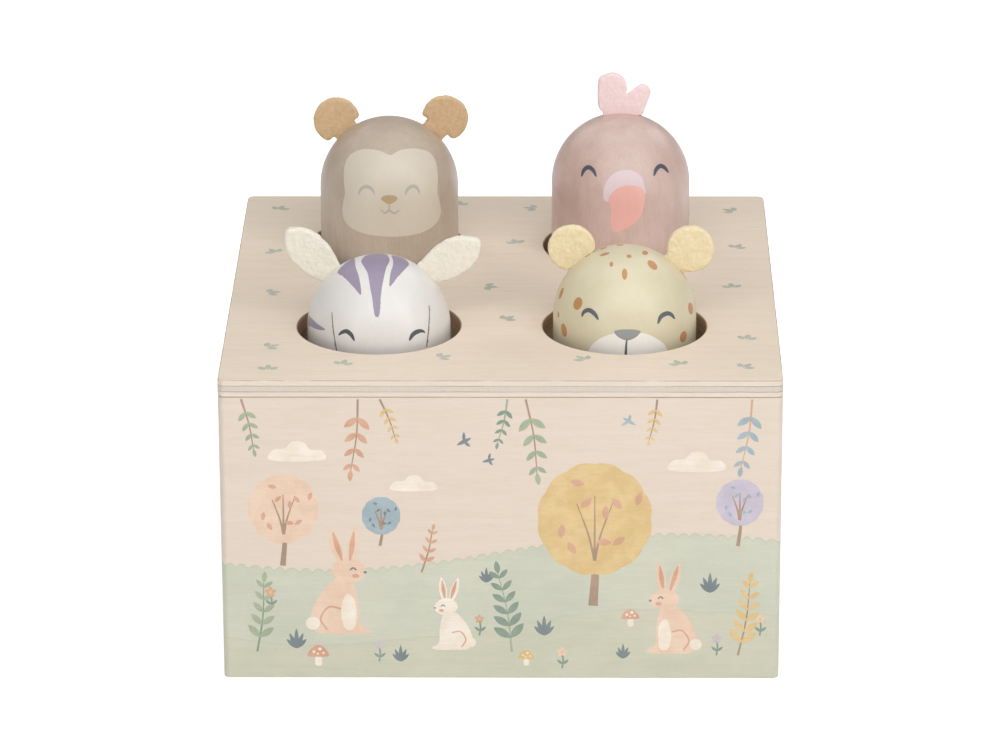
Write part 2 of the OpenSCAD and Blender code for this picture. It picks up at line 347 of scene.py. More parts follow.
def nap_group() -> bpy.types.NodeTree:
    """Wool felt: matted clumps with fine crossing fibres, with masks for painted shade in the hollows and a
    painted sheen on the fibres.

    Returns:
        The group.
    """

    def wire(graph: Graph, given: Sockets) -> Sockets:
        """Wires the nap.

        Args:
            graph: The group's tree.
            given: The group's inputs.

        Returns:
            The group's outputs.
        """
        clumps = graph.noise(given["Vector"], 950.0, 4.0, 0.6)
        bent = graph.add("VectorMath", _0=given["Vector"], _1=(2.2, 0.7, 0.6))
        bent.operation = "MULTIPLY"
        crossed = graph.add("VectorMath", _0=given["Vector"], _1=(0.6, 0.8, 2.4))
        crossed.operation = "MULTIPLY"
        one = graph.noise(bent.outputs[0], 2600.0, 3.0, 0.6)
        two = graph.noise(crossed.outputs[0], 2300.0, 3.0, 0.6)
        fibres = graph.maths("MAXIMUM", one, two)
        height = graph.maths("ADD", graph.maths("MULTIPLY", clumps, 1.4), fibres)
        return {"Mottle": graph.spread(clumps, 0.25, 0.72), "Fibre": graph.spread(fibres, 0.45, 0.75),
                "Height": height}

    return shared_group(
        "FeltNap",
        [("Vector", VECTOR, (0, 0, 0))],
        [("Mottle", FLOAT), ("Fibre", FLOAT), ("Height", FLOAT)],
        wire,
    )


def wash_group() -> bpy.types.NodeTree:
    """Thin printed colour: pigment that pools in soft patches, over a fine tooth.

    Returns:
        The group.
    """

    def wire(graph: Graph, given: Sockets) -> Sockets:
        """Wires the wash.

        Args:
            graph: The group's tree.
            given: The group's inputs.

        Returns:
            The group's outputs.
        """
        pools = graph.spread(graph.noise(given["Vector"], given["Scale"], 5.0, 0.6), 0.34, 0.66)
        tooth = graph.spread(graph.noise(given["Vector"], 2400.0, 2.0, 0.5), 0.4, 0.75)
        share = graph.maths("ADD", graph.maths("MULTIPLY", pools, 0.7), graph.maths("MULTIPLY", tooth, 0.3))
        return {"Pool": graph.maths("MULTIPLY", share, given["Amount"], clamp=True)}

    return shared_group(
        "InkWash",
        [("Vector", VECTOR, (0, 0, 0)), ("Scale", FLOAT, 120.0), ("Amount", FLOAT, 1.0)],
        [("Pool", FLOAT)],
        wire,
    )


def ground_group() -> bpy.types.NodeTree:
    """The painted ground of the landscape: a rolling line edged with low round bushes.

    Returns:
        The group.
    """

    def wire(graph: Graph, given: Sockets) -> Sockets:
        """Wires the mask.

        Args:
            graph: The group's tree.
            given: The group's inputs.

        Returns:
            The group's outputs.
        """
        along = given["Along"]
        roll = graph.maths("MULTIPLY", graph.maths("SINE", graph.maths("MULTIPLY", along, 38.0)), 0.0035)
        swell = graph.maths("MULTIPLY", graph.maths("SINE", graph.maths("MULTIPLY", along, 17.0)), 0.0028)
        drift = graph.add("CombineXYZ", X=along, Y=given["Seed"])
        uneven = graph.maths("SUBTRACT", graph.noise(drift.outputs[0], 160.0, 2.0), 0.5)
        shifted = graph.maths("ADD", graph.maths("MULTIPLY", along, given["Bushes"]),
                              graph.maths("MULTIPLY", uneven, 2.5))
        bump = graph.maths("MULTIPLY", graph.maths("ABSOLUTE", graph.maths("SINE", shifted)), given["Rise"])
        line = graph.maths("ADD", graph.maths("ADD", roll, swell), graph.maths("ADD", bump, given["Level"]))
        below = graph.maths("SUBTRACT", line, given["Height"])
        return {"Mask": graph.spread(below, -0.0001, 0.00012),
                "Edge": graph.spread(below, 0.0009, 0.0, 0.0, 1.0)}

    return shared_group(
        "GroundLine",
        [("Along", FLOAT, 0.0), ("Height", FLOAT, 0.0), ("Level", FLOAT, 0.04), ("Bushes", FLOAT, 900.0),
         ("Rise", FLOAT, 0.0012), ("Seed", FLOAT, 0.0)],
        [("Mask", FLOAT), ("Edge", FLOAT)],
        wire,
    )


# ---- Finishes ----


class Grain(Enum):
    """Which way the grain of a board or block runs."""

    ACROSS = (60.0, 700.0, 700.0)
    DEEP = (700.0, 60.0, 700.0)
    UPRIGHT = (700.0, 700.0, 60.0)


class Recipe:
    """A material with one Principled shader, ready for its colour, roughness and relief."""

    def __init__(self, name: str, roughness: float, **constants: object) -> None:
        """Makes the material.

        Args:
            name: The material's name.
            roughness: The shader's roughness, where nothing is linked to it.
            constants: Values for the shader's own sockets, with _ for a space.
        """
        self.material = bpy.data.materials.new(name)
        self.material.use_nodes = True
        self.graph = Graph(self.material.node_tree)
        self.shader = self.material.node_tree.nodes["Principled BSDF"]
        self.place = self.graph.add("TexCoord").outputs["Object"]
        self.set(Roughness=roughness, **constants)

    def set(self, **values: object) -> None:
        """Sets or links inputs of the shader."""
        for name, value in values.items():
            self.graph.feed(self.shader, name, value)

    def group(self, tree: bpy.types.NodeTree, **values: object) -> bpy.types.Node:
        """Places a shared group and feeds it.

        Args:
            tree: The group.
            values: Numbers, colours or sockets for its inputs, with _ for a space.

        Returns:
            The node that holds it.
        """
        node = self.graph.add("Group")
        node.node_tree = tree
        if "Vector" in node.inputs:
            self.graph.feed(node, "Vector", self.place)
        for name, value in values.items():
            self.graph.feed(node, name, value)
        return node

    def relief(self, height: object, depth_mm: float, strength: float = 1.0) -> None:
        """Raises the surface by a height, with no change to its shape."""
        bump = self.graph.add("Bump", Height=height, Distance=depth_mm * MM, Strength=strength)
        self.set(Normal=bump.outputs[0])


@dataclass(frozen=True)
class Wood:
    """Bare or thinly lacquered wood.

    Args:
        name: The material's name.
        light: Colour of the early wood.
        dark: Colour of the late wood.
        grain: Which way the grain runs.
        contrast: How far the dark shows, from 0 to 1.
        roughness: Of the lacquer.
        arris_colour: Colour mixed into its arrises in patches, or nothing for turned wood.
    """

    name: str
    light: str
    dark: str
    grain: Grain = Grain.ACROSS
    contrast: float = 0.6
    roughness: float = 0.5
    arris_colour: str = ""

    def make(self) -> bpy.types.Material:
        """Makes the material.

        Returns:
            The material.
        """
        recipe = Recipe(self.name, self.roughness, Coat_Weight=0.12, Coat_Roughness=0.35)
        grain = recipe.group(grain_group(), Stretch=self.grain.value, Contrast=self.contrast,
                             Light=linear(self.light), Dark=linear(self.dark))
        fleck = recipe.group(wash_group(), Scale=260.0, Amount=0.35)
        colour = recipe.graph.mix(fleck.outputs["Pool"], grain.outputs["Colour"], linear(self.light))
        # The arrises are mixed in patches towards a darker colour.
        if self.arris_colour:
            arris_patches = recipe.group(arris_patch_group(), Scale=140.0, Amount=0.8)
            colour = recipe.graph.mix(arris_patches.outputs["Mask"], colour, linear(self.arris_colour))
        recipe.set(Base_Color=colour)
        recipe.set(Roughness=recipe.graph.spread(grain.outputs["Mask"], 0.0, 1.0, self.roughness,
                                                 self.roughness + 0.14))
        recipe.relief(grain.outputs["Height"], 0.03, 0.5)
        return recipe.material


@dataclass(frozen=True)
class PlyEdge:
    """The sawn edge of a board, with its veneers and glue lines, darkened by painted shade where asked.

    Args:
        name: The material's name.
        bottom: Height of the board's underside, in metres.
        thick: Thickness of the board, in metres.
        tint: Painted shade that the sawn edge is multiplied by, white for none.
    """

    name: str
    bottom: float
    thick: float
    tint: str = "#ffffff"

    def make(self) -> bpy.types.Material:
        """Makes the material.

        Returns:
            The material.
        """
        recipe = Recipe(self.name, 0.62)
        graph = recipe.graph
        height = graph.add("SeparateXYZ", Vector=recipe.place).outputs["Z"]
        depth = graph.maths("DIVIDE", graph.maths("SUBTRACT", height, self.bottom), self.thick)
        layers = recipe.group(ply_group(), Depth=depth)
        outer = recipe.group(grain_group(), Stretch=(300.0, 300.0, 2200.0), Contrast=0.55,
                             Light=linear("#e8dbcc"), Dark=linear("#d9cab9"))
        grain = recipe.group(grain_group(), Stretch=(2600.0, 2600.0, 1200.0), Contrast=0.6,
                             Light=linear("#ddd1c6"), Dark=linear("#cabdaf"))
        plies = graph.mix(layers.outputs["Core"], outer.outputs["Colour"], grain.outputs["Colour"])
        board = graph.mix(layers.outputs["Glue"], plies, linear("#ab9c8a"))
        # Multiplies in the painted shade, white for none.
        recipe.set(Base_Color=graph.mix(1.0, board, linear(self.tint), "MULTIPLY"))
        relief = graph.maths("SUBTRACT", grain.outputs["Height"],
                             graph.maths("MULTIPLY", layers.outputs["Glue"], 1.5))
        recipe.relief(relief, 0.05, 0.8)
        return recipe.material


@dataclass(frozen=True)
class PrintedPly:
    """A wall's face: pale wood above, with a washed green ground printed over its lower part.

    Args:
        name: The material's name.
        sideways: True where the wall runs front to back.
        seed: Shifts the ground line's bushes.
    """

    name: str
    sideways: bool
    seed: float

    def make(self) -> bpy.types.Material:
        """Makes the material.

        Returns:
            The material.
        """
        recipe = Recipe(self.name, 0.5, Coat_Weight=0.15, Coat_Roughness=0.38)
        graph = recipe.graph
        grain = recipe.group(grain_group(), Contrast=0.4, Light=linear("#e2d3c4"), Dark=linear("#d2c2af"),
                             Stretch=(Grain.DEEP if self.sideways else Grain.ACROSS).value)
        split = graph.add("SeparateXYZ", Vector=recipe.place)
        along = split.outputs["Y" if self.sideways else "X"]
        colour = grain.outputs["Colour"]
        washes = (
            (0.0375, 900.0, 0.0011, "#d1d2c0", "#c0c7b5", 0.92),
            (0.0150, 55.0, 0.0012, "#d4cdb6", "#c2c5ae", 0.55),
        )
        for index, (level, bushes, rise, light, dark, cover) in enumerate(washes):
            ground = recipe.group(ground_group(), Along=along, Height=split.outputs["Z"], Level=level,
                                  Bushes=bushes, Rise=rise, Seed=self.seed + index)
            wash = recipe.group(wash_group(), Scale=38.0 + 14.0 * index, Amount=0.9)
            ink = graph.mix(wash.outputs["Pool"], linear(light), linear(dark))
            ink = graph.mix(graph.maths("MULTIPLY", ground.outputs["Edge"], 0.5), ink, linear("#b3bca2"))
            inked = graph.mix(graph.maths("MULTIPLY", grain.outputs["Mask"], 0.2), ink, linear("#a9ab90"))
            colour = graph.mix(graph.maths("MULTIPLY", ground.outputs["Mask"], cover), colour, inked)
        recipe.set(Base_Color=colour)
        recipe.relief(grain.outputs["Height"], 0.03, 0.5)
        return recipe.material


@dataclass(frozen=True)
class Ink:
    """Printed colour, thin enough that the wood's tooth shows through.

    Args:
        name: The material's name.
        light: Where the pigment is thin.
        dark: Where it pools.
        roughness: Of the lacquer over it.
    """

    name: str
    light: str
    dark: str
    roughness: float = 0.5

    def make(self) -> bpy.types.Material:
        """Makes the material.

        Returns:
            The material.
        """
        recipe = Recipe(self.name, self.roughness, Coat_Weight=0.15, Coat_Roughness=0.38)
        wash = recipe.group(wash_group(), Scale=170.0, Amount=0.95)
        grain = recipe.group(grain_group(), Contrast=1.0, Stretch=Grain.ACROSS.value)
        ink = recipe.graph.mix(wash.outputs["Pool"], linear(self.light), linear(self.dark))
        tooth = recipe.graph.maths("MULTIPLY", grain.outputs["Mask"], 0.12)
        recipe.set(Base_Color=recipe.graph.mix(tooth, ink, linear("#8f8373")))
        recipe.relief(grain.outputs["Height"], 0.02, 0.4)
        return recipe.material


@dataclass(frozen=True)
class SatinPaint:
    """Satin paint on turned wood, through which the grain just shows.

    Args:
        name: The material's name.
        colour: The paint.
        shade: Its darker patches, and where the grain shows.
        roughness: Of the paint.
    """

    name: str
    colour: str
    shade: str
    roughness: float = 0.37

    def make(self) -> bpy.types.Material:
        """Makes the material.

        Returns:
            The material.
        """
        recipe = Recipe(self.name, self.roughness, Coat_Weight=0.2, Coat_Roughness=0.3,
                        Specular_IOR_Level=0.5)
        graph = recipe.graph
        grain = recipe.group(grain_group(), Stretch=Grain.UPRIGHT.value, Contrast=1.0)
        wash = recipe.group(wash_group(), Scale=90.0, Amount=0.5)
        share = graph.maths("ADD", graph.maths("MULTIPLY", grain.outputs["Mask"], 0.24),
                            graph.maths("MULTIPLY", wash.outputs["Pool"], 0.6), clamp=True)
        recipe.set(Base_Color=graph.mix(share, linear(self.colour), linear(self.shade)))
        recipe.set(Roughness=graph.spread(wash.outputs["Pool"], 0.0, 0.5, self.roughness,
                                          self.roughness + 0.08))
        recipe.relief(grain.outputs["Height"], 0.025, 0.35)
        return recipe.material


@dataclass(frozen=True)
class Felt:
    """Pressed wool felt, its fibres lightened as a painted sheen.

    Args:
        name: The material's name.
        colour: Of the fibres.
        shade: Of the hollows between clumps, partly the wool's own mottle and partly painted shade.
    """

    name: str
    colour: str
    shade: str

    def make(self) -> bpy.types.Material:
        """Makes the material.

        Returns:
            The material.
        """
        recipe = Recipe(self.name, 0.95, Specular_IOR_Level=0.2, Sheen_Weight=0.35, Sheen_Roughness=0.6,
                        Sheen_Tint=linear("#fff6ea"))
        graph = recipe.graph
        nap = recipe.group(nap_group())
        # Darker in the hollows between clumps: partly the wool's own mottle, partly painted shade.
        mottle_and_shade = graph.mix(nap.outputs["Mottle"], linear(self.shade), linear(self.colour))
        # Fibres lightened towards white, the same for every felt, as a painted sheen.
        lit = graph.mix(graph.maths("MULTIPLY", nap.outputs["Fibre"], 0.12), mottle_and_shade, linear("#fbf3e6"))
        recipe.set(Base_Color=lit)
        recipe.relief(nap.outputs["Height"], 0.16, 0.9)
        return recipe.material


@dataclass(frozen=True)
class Steel:
    """Bright steel, drawn or turned.

    Args:
        name: The material's name.
        roughness: Of the metal.
    """

    name: str
    roughness: float

    def make(self) -> bpy.types.Material:
        """Makes the material.

        Returns:
            The material.
        """
        recipe = Recipe(self.name, self.roughness, Metallic=1.0)
        wash = recipe.group(wash_group(), Scale=500.0, Amount=1.0)
        recipe.set(Base_Color=recipe.graph.mix(wash.outputs["Pool"], linear("#c9cbce"), linear("#9fa2a6")))
        recipe.set(Roughness=recipe.graph.spread(wash.outputs["Pool"], 0.0, 1.0, self.roughness,
                                                 self.roughness + 0.18))
        return recipe.material


class Palette:
    """Makes each finish once, when it is first asked for."""

    def __init__(self) -> None:
        """Starts with nothing made."""
        self.made: dict[str, bpy.types.Material] = {}

    def of(self, finish: object) -> bpy.types.Material:
        """Gives the material of a finish.

        Args:
            finish: The finish.

        Returns:
            Its material.
        """
        if finish.name not in self.made:
            self.made[finish.name] = finish.make()
        return self.made[finish.name]


PALETTE = Palette()
BARE_WOOD = Wood("bare_beech", "#e6cfa8", "#cfae82", Grain.UPRIGHT, 0.7, 0.6)
DISC_WOOD = Wood("disc_ply", "#e6d3b6", "#cdb28c", Grain.ACROSS, 0.6, 0.6)
SPRING_STEEL = Steel("spring_steel", 0.28)
SCREW_STEEL = Steel("screw_steel", 0.34)
LID_FACE = Wood("lid_face", "#e4d5c3", "#d2c0aa", Grain.ACROSS, 0.42, 0.5, "#a88d70")
BASE_FACE = Wood("base_face", "#e6d6bf", "#ccb698", Grain.ACROSS, 0.6, 0.58)
INNER_FACE = Wood("inner_face", "#e2d2ba", "#c8b291", Grain.ACROSS, 0.6, 0.6)

SLATE = Ink("slate_ink", "#7f8b8e", "#68777c")
BLUE = Ink("blue_ink", "#acbcc2", "#93a8b1")
SAGE = Ink("sage_ink", "#adb79b", "#94a487")
FOREST = Ink("forest_ink", "#8fa091", "#788d7f")
PEACH = Ink("peach_ink", "#edd2bc", "#e5c2a7")
TERRACOTTA = Ink("terracotta_ink", "#dcae92", "#cc987b")
MUSTARD = Ink("mustard_ink", "#e4c893", "#d7b578")
LILAC = Ink("lilac_ink", "#d0c8d4", "#bfb5c7")
BROWN = Ink("brown_ink", "#b39780", "#9a806a")
CREAM = Ink("cream_ink", "#f6ecdf", "#ecdcc8")
PALE_SAGE = Ink("pale_sage_ink", "#bcbfb2", "#a6aba0")


# ---- Flat outlines, in millimetres ----


def curve_through(points: Sequence[Point], closed: bool, step: float = 0.5) -> Outline:
    """Draws a smooth curve through points.

    Args:
        points: What it passes through.
        closed: True if it comes back to its first point.
        step: About how far apart its own points lie.

    Returns:
        The curve's points.
    """
    count = len(points)
    spans = count if closed else count - 1

    def knot(index: int) -> Vector:
        """Gives a point, past either end too.

        Args:
            index: Which point, also below 0 or past the last.

        Returns:
            The point, or one put in beyond the end of an open curve.
        """
        if closed:
            return Vector(points[index % count])
        if 0 <= index < count:
            return Vector(points[index])
        end, inner = (0, 1) if index < 0 else (count - 1, count - 2)
        return 2 * Vector(points[end]) - Vector(points[inner])

    line: Outline = []
    for span in range(spans):
        a, b, c, d = (knot(span + i) for i in (-1, 0, 1, 2))
        square, cube = 2 * a - 5 * b + 4 * c - d, 3 * b - a - 3 * c + d
        pieces = max(2, round((c - b).length / step))
        for piece in range(pieces):
            t = piece / pieces
            at = 0.5 * (2 * b + (c - a) * t + square * t**2 + cube * t**3)
            line.append((at.x, at.y))
    if not closed:
        line.append(tuple(points[-1]))
    return line


def oval(x: float, y: float, rx: float, ry: float, turn: float = 0.0, count: int = 28) -> Outline:
    """Draws an oval.

    Args:
        x: Its middle.
        y: Its middle.
        rx: Half its width.
        ry: Half its height.
        turn: Degrees anticlockwise.
        count: How many points it has.

    Returns:
        The outline.
    """
    c, s = math.cos(math.radians(turn)), math.sin(math.radians(turn))
    around = [math.tau * i / count for i in range(count)]
    return [(x + rx * math.cos(a) * c - ry * math.sin(a) * s,
             y + rx * math.cos(a) * s + ry * math.sin(a) * c)
            for a in around]


def stroke(points: Sequence[Point], width: Callable[[float], float], step: float = 0.4) -> Outline:
    """Draws a line whose width changes along it.

    Args:
        points: What its middle passes through.
        width: Its full width at a share of its length, from 0 to 1.
        step: About how far apart its points lie.

    Returns:
        The closed outline.
    """
    middle = [Vector(p) for p in curve_through(points, False, step)]
    last = len(middle) - 1
    left: Outline = []
    right: Outline = []
    for index, at in enumerate(middle):
        ahead = (middle[min(index + 1, last)] - middle[max(index - 1, 0)]).normalized()
        side = Vector((-ahead.y, ahead.x)) * max(width(index / last), 0.02) / 2
        left.append((at.x + side.x, at.y + side.y))
        right.append((at.x - side.x, at.y - side.y))
    return right + left[::-1]


def swell(full: float, least: float = 0.15) -> Callable[[float], float]:
    """A brush line's width: thin at both ends and full in its middle."""
    return lambda share: full * (least + (1 - least) * math.sin(math.pi * share) ** 0.7)


def leaf(x: float, y: float, length: float, width: float, turn: float) -> Outline:
    """Draws a pointed leaf.

    Args:
        x: Its root.
        y: Its root.
        length: From root to tip.
        width: Across its middle.
        turn: Degrees from straight up, clockwise.

    Returns:
        The outline.
    """
    a = math.radians(turn)
    shape = stroke([(0, 0), (0, length / 2), (0, length)],
                   lambda share: width * math.sin(math.pi * min(share * 0.96 + 0.02, 1)) ** 0.85,
                   max(length / 9, 0.25))
    return [(x + u * math.cos(a) + v * math.sin(a), y - u * math.sin(a) + v * math.cos(a)) for u, v in shape]


def moved(outline: Outline, x: float, y: float, scale: float = 1.0, mirror: bool = False) -> Outline:
    """Scales an outline, mirrors it if asked, and moves it."""
    flip = -1 if mirror else 1
    return [(x + flip * scale * u, y + scale * v) for u, v in outline]


# ---- Mesh work ----


def is_clockwise(outline: Outline) -> bool:
    """Says which way an outline runs."""
    area = sum(x0 * y1 - x1 * y0 for (x0, y0), (x1, y1) in zip(outline, outline[1:] + outline[:1]))
    return area < 0


def pour(part: bmesh.types.BMesh, bm: bmesh.types.BMesh) -> None:
    """Adds one mesh to another, and frees it.

    Args:
        part: The mesh that is added.
        bm: The mesh that gets it.
    """
    scrap = bpy.data.meshes.new("scrap")
    part.to_mesh(scrap)
    part.free()
    bm.from_mesh(scrap)
    bpy.data.meshes.remove(scrap)


def flat_shape(bm: bmesh.types.BMesh, outline: Outline,
               cell: float | None = None) -> list[bmesh.types.BMVert]:
    """Fills an outline in the XY plane, facing +Z.

    Args:
        bm: The mesh to add it to.
        outline: Its points, in millimetres.
        cell: Size of the grid it is cut into, or None for a flat piece.

    Returns:
        Its vertices.
    """
    points = outline[::-1] if is_clockwise(outline) else outline
    part = bmesh.new()
    part.faces.new([part.verts.new((x, y, 0)) for x, y in points])
    part.normal_update()
    bmesh.ops.triangulate(part, faces=part.faces[:], ngon_method="EAR_CLIP")
    if cell:
        for axis in (0, 1):
            values = [p[axis] for p in outline]
            normal = Vector((1, 0, 0)) if axis == 0 else Vector((0, 1, 0))
            line = math.ceil(min(values) / cell) * cell
            while line < max(values):
                everything = part.verts[:] + part.edges[:] + part.faces[:]
                bmesh.ops.bisect_plane(part, geom=everything, dist=1e-4, plane_co=normal * line,
                                       plane_no=normal)
                line += cell
    bmesh.ops.scale(part, vec=(MM, MM, MM), verts=part.verts[:])
    before = len(bm.verts)
    pour(part, bm)
    bm.verts.ensure_lookup_table()
    return bm.verts[before:]


def close_film(bm: bmesh.types.BMesh, depth_mm: float) -> None:
    """Gives open sheets a thickness, behind the side they face.

    Args:
        bm: The sheets.
        depth_mm: The thickness.
    """

    def spot(vert: bmesh.types.BMVert) -> tuple[float, ...]:
        """Says where a vertex is, for finding its twin."""
        return tuple(round(c, 9) for c in vert.co)

    bmesh.ops.remove_doubles(bm, verts=bm.verts[:], dist=TOUCH)
    bm.normal_update()
    outward = {spot(v): v.normal.copy() for v in bm.verts}
    made = bmesh.ops.extrude_face_region(bm, geom=bm.faces[:], use_keep_orig=True)
    for vert in made["geom"]:
        if isinstance(vert, bmesh.types.BMVert):
            vert.co -= outward[spot(vert)] * depth_mm * MM
    bmesh.ops.recalc_face_normals(bm, faces=bm.faces[:])


def worked_copy(node: str, width_mm: float, segments: int = 2,
                dressed: Callable[[bmesh.types.BMesh], None] | None = None) -> bmesh.types.BMesh:
    """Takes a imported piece's mesh, joins it up and rounds its arrises.

    Args:
        node: The piece's name in the frame.
        width_mm: Width of the rounding.
        segments: How many faces it has.
        dressed: Changes the joined mesh before it is rounded.

    Returns:
        The new mesh.
    """
    bm = bmesh.new()
    bm.from_mesh(bpy.data.objects[node].data)
    bmesh.ops.remove_doubles(bm, verts=bm.verts[:], dist=MERGE)
    bmesh.ops.dissolve_limit(bm, angle_limit=FLAT_ANGLE, verts=bm.verts[:], edges=bm.edges[:],
                             use_dissolve_boundaries=False)
    if dressed:
        dressed(bm)
    arrises = [e for e in bm.edges if e.is_manifold and e.calc_face_angle(0.0) > SHARP_ANGLE]
    bmesh.ops.bevel(bm, geom=arrises, offset=width_mm * MM, offset_type="OFFSET", segments=segments,
                    profile=0.5, affect="EDGES", clamp_overlap=False, material=-1)
    bmesh.ops.recalc_face_normals(bm, faces=bm.faces[:])
    return bm


def add_piece(name: str, bm: bmesh.types.BMesh, finishes: Sequence[object], body: str | None, slot: str,
              replaces: Sequence[str] = (), pick: Callable[[bmesh.types.BMFace], int] | None = None,
              even: bool = True) -> bpy.types.Object:
    """Makes a finished mesh a piece of the toy.

    Args:
        name: The piece's name.
        bm: Its mesh, which is freed.
        finishes: Its finishes, in the order of its material slots.
        body: The body it moves with, or None for a piece that is placed later.
        slot: The record's material slot; not used.
        replaces: The frame's nodes that it stands for.
        pick: Chooses each face's material, where there are several.
        even: True if flat faces keep their flat shading beside round ones.

    Returns:
        The piece.
    """
    for face in bm.faces:
        face.smooth = True
        if pick:
            face.material_index = pick(face)
    for edge in bm.edges:
        edge.smooth = not edge.is_manifold or edge.calc_face_angle(0.0) < SHARP_ANGLE
    mesh = bpy.data.meshes.new(name)
    bm.to_mesh(mesh)
    bm.free()
    for finish in finishes:
        mesh.materials.append(PALETTE.of(finish))
    piece = bpy.data.objects.new(name, mesh)
    bpy.context.scene.collection.objects.link(piece)
    if even:
        weighted = piece.modifiers.new("even_shading", "WEIGHTED_NORMAL")
        weighted.keep_sharp = True
    if body:
        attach(piece, body)
    if replaces:
        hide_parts(*replaces)
    LOG.info("%s: %d faces, in place of %s", name, len(mesh.polygons), ", ".join(replaces) or "nothing")
    return piece


def face_or_edge(face: bmesh.types.BMFace) -> int:
    """Picks a board's first finish for a face that lies level, and the second for its edge."""
    return 0 if abs(face.normal.z) > LEVEL else 1


def dress_node(node: str, finish: object) -> None:
    """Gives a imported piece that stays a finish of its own.

    Args:
        node: The piece's name in the frame.
        finish: The finish.
    """
    mesh = bpy.data.objects[node].data
    mesh.materials.clear()
    mesh.materials.append(PALETTE.of(finish))


# ---- Prints ----

# Thickness of a film, how deep it reaches into the wood, and the grid it is cut into, in millimetres
PEG_FILM, PEG_ROOT, PEG_CELL = 0.018, 0.12, 1.0
LID_FILM, LID_ROOT = 0.012, 0.1
WALL_FILM, WALL_ROOT = 0.008, 0.05
# What keeps shapes of one layer of a wall's picture apart
WALL_STEP = 0.0006


@dataclass(frozen=True)
class Pad:
    """A soft print pad that meets a peg from one side.

    Args:
        turn: Degrees round the peg from its front, to the viewer's right.
        tilt: Degrees above level.
        drop: How far below the dome's middle the pad aims, in millimetres.
    """

    turn: float = 0.0
    tilt: float = 21.0
    drop: float = 0.0

    def axes(self) -> tuple[Vector, Vector, Vector]:
        """Gives the pad's right, up and outward directions.

        Returns:
            Right, up and outward.
        """
        turn, tilt = math.radians(self.turn), math.radians(self.tilt)
        right = Vector((math.cos(turn), math.sin(turn), 0))
        back = Vector((math.sin(turn) * math.cos(tilt), -math.cos(turn) * math.cos(tilt), math.sin(tilt)))
        return right, back.cross(right), back

    def press(self, point: Vector, radius: float) -> Vector:
        """Moves a flat point along the pad's direction to a peg's skin.

        Args:
            point: The flat point, its z unused.
            radius: The peg's radius, with the print's thickness.

        Returns:
            The point, from the dome's middle.
        """
        right, up, back = self.axes()
        across = right * point.x + up * point.y - Vector((0, 0, self.drop * MM))
        across -= back * across.dot(back)
        on_dome = across + back * math.sqrt(max(radius**2 - across.length_squared, 0))
        if on_dome.z >= 0:
            return on_dome
        a = back.xy.length_squared
        b = across.xy.dot(back.xy)
        c = across.xy.length_squared - radius**2
        return across + back * (math.sqrt(max(b * b - a * c, 0)) - b) / a


@dataclass(frozen=True)
class Mark:
    """One printed shape on a peg.

    Args:
        outline: Its flat outline, in millimetres.
        pad: The pad that prints it.
    """

    outline: Outline
    pad: Pad = Pad()


FACE = Pad()
CROWN = Pad(tilt=60)


@dataclass
class PegPrint:
    """Marks of one ink on one peg.

    Args:
        name: The piece's name.
        finish: The ink.
        marks: What is printed.
        layer: Which pass it is, from 1. A later pass lies on an earlier one.
    """

    name: str
    finish: object
    marks: list[Mark]
    layer: int = 1

    def build(self, middle: Vector, radius: float, body: str, slot: str) -> bpy.types.Object:
        """Presses the marks on to the peg.

        Args:
            middle: The dome's middle.
            radius: The peg's radius.
            body: What the print moves with.
            slot: The record's material slot.

        Returns:
            The piece.
        """
        film = PEG_FILM * self.layer
        bm = bmesh.new()
        for mark in self.marks:
            for vert in flat_shape(bm, mark.outline, PEG_CELL):
                vert.co = middle + mark.pad.press(vert.co, radius + film * MM)
        close_film(bm, film + PEG_ROOT)
        return add_piece(self.name, bm, [self.finish], body, slot, even=False)


# ---- The box ----


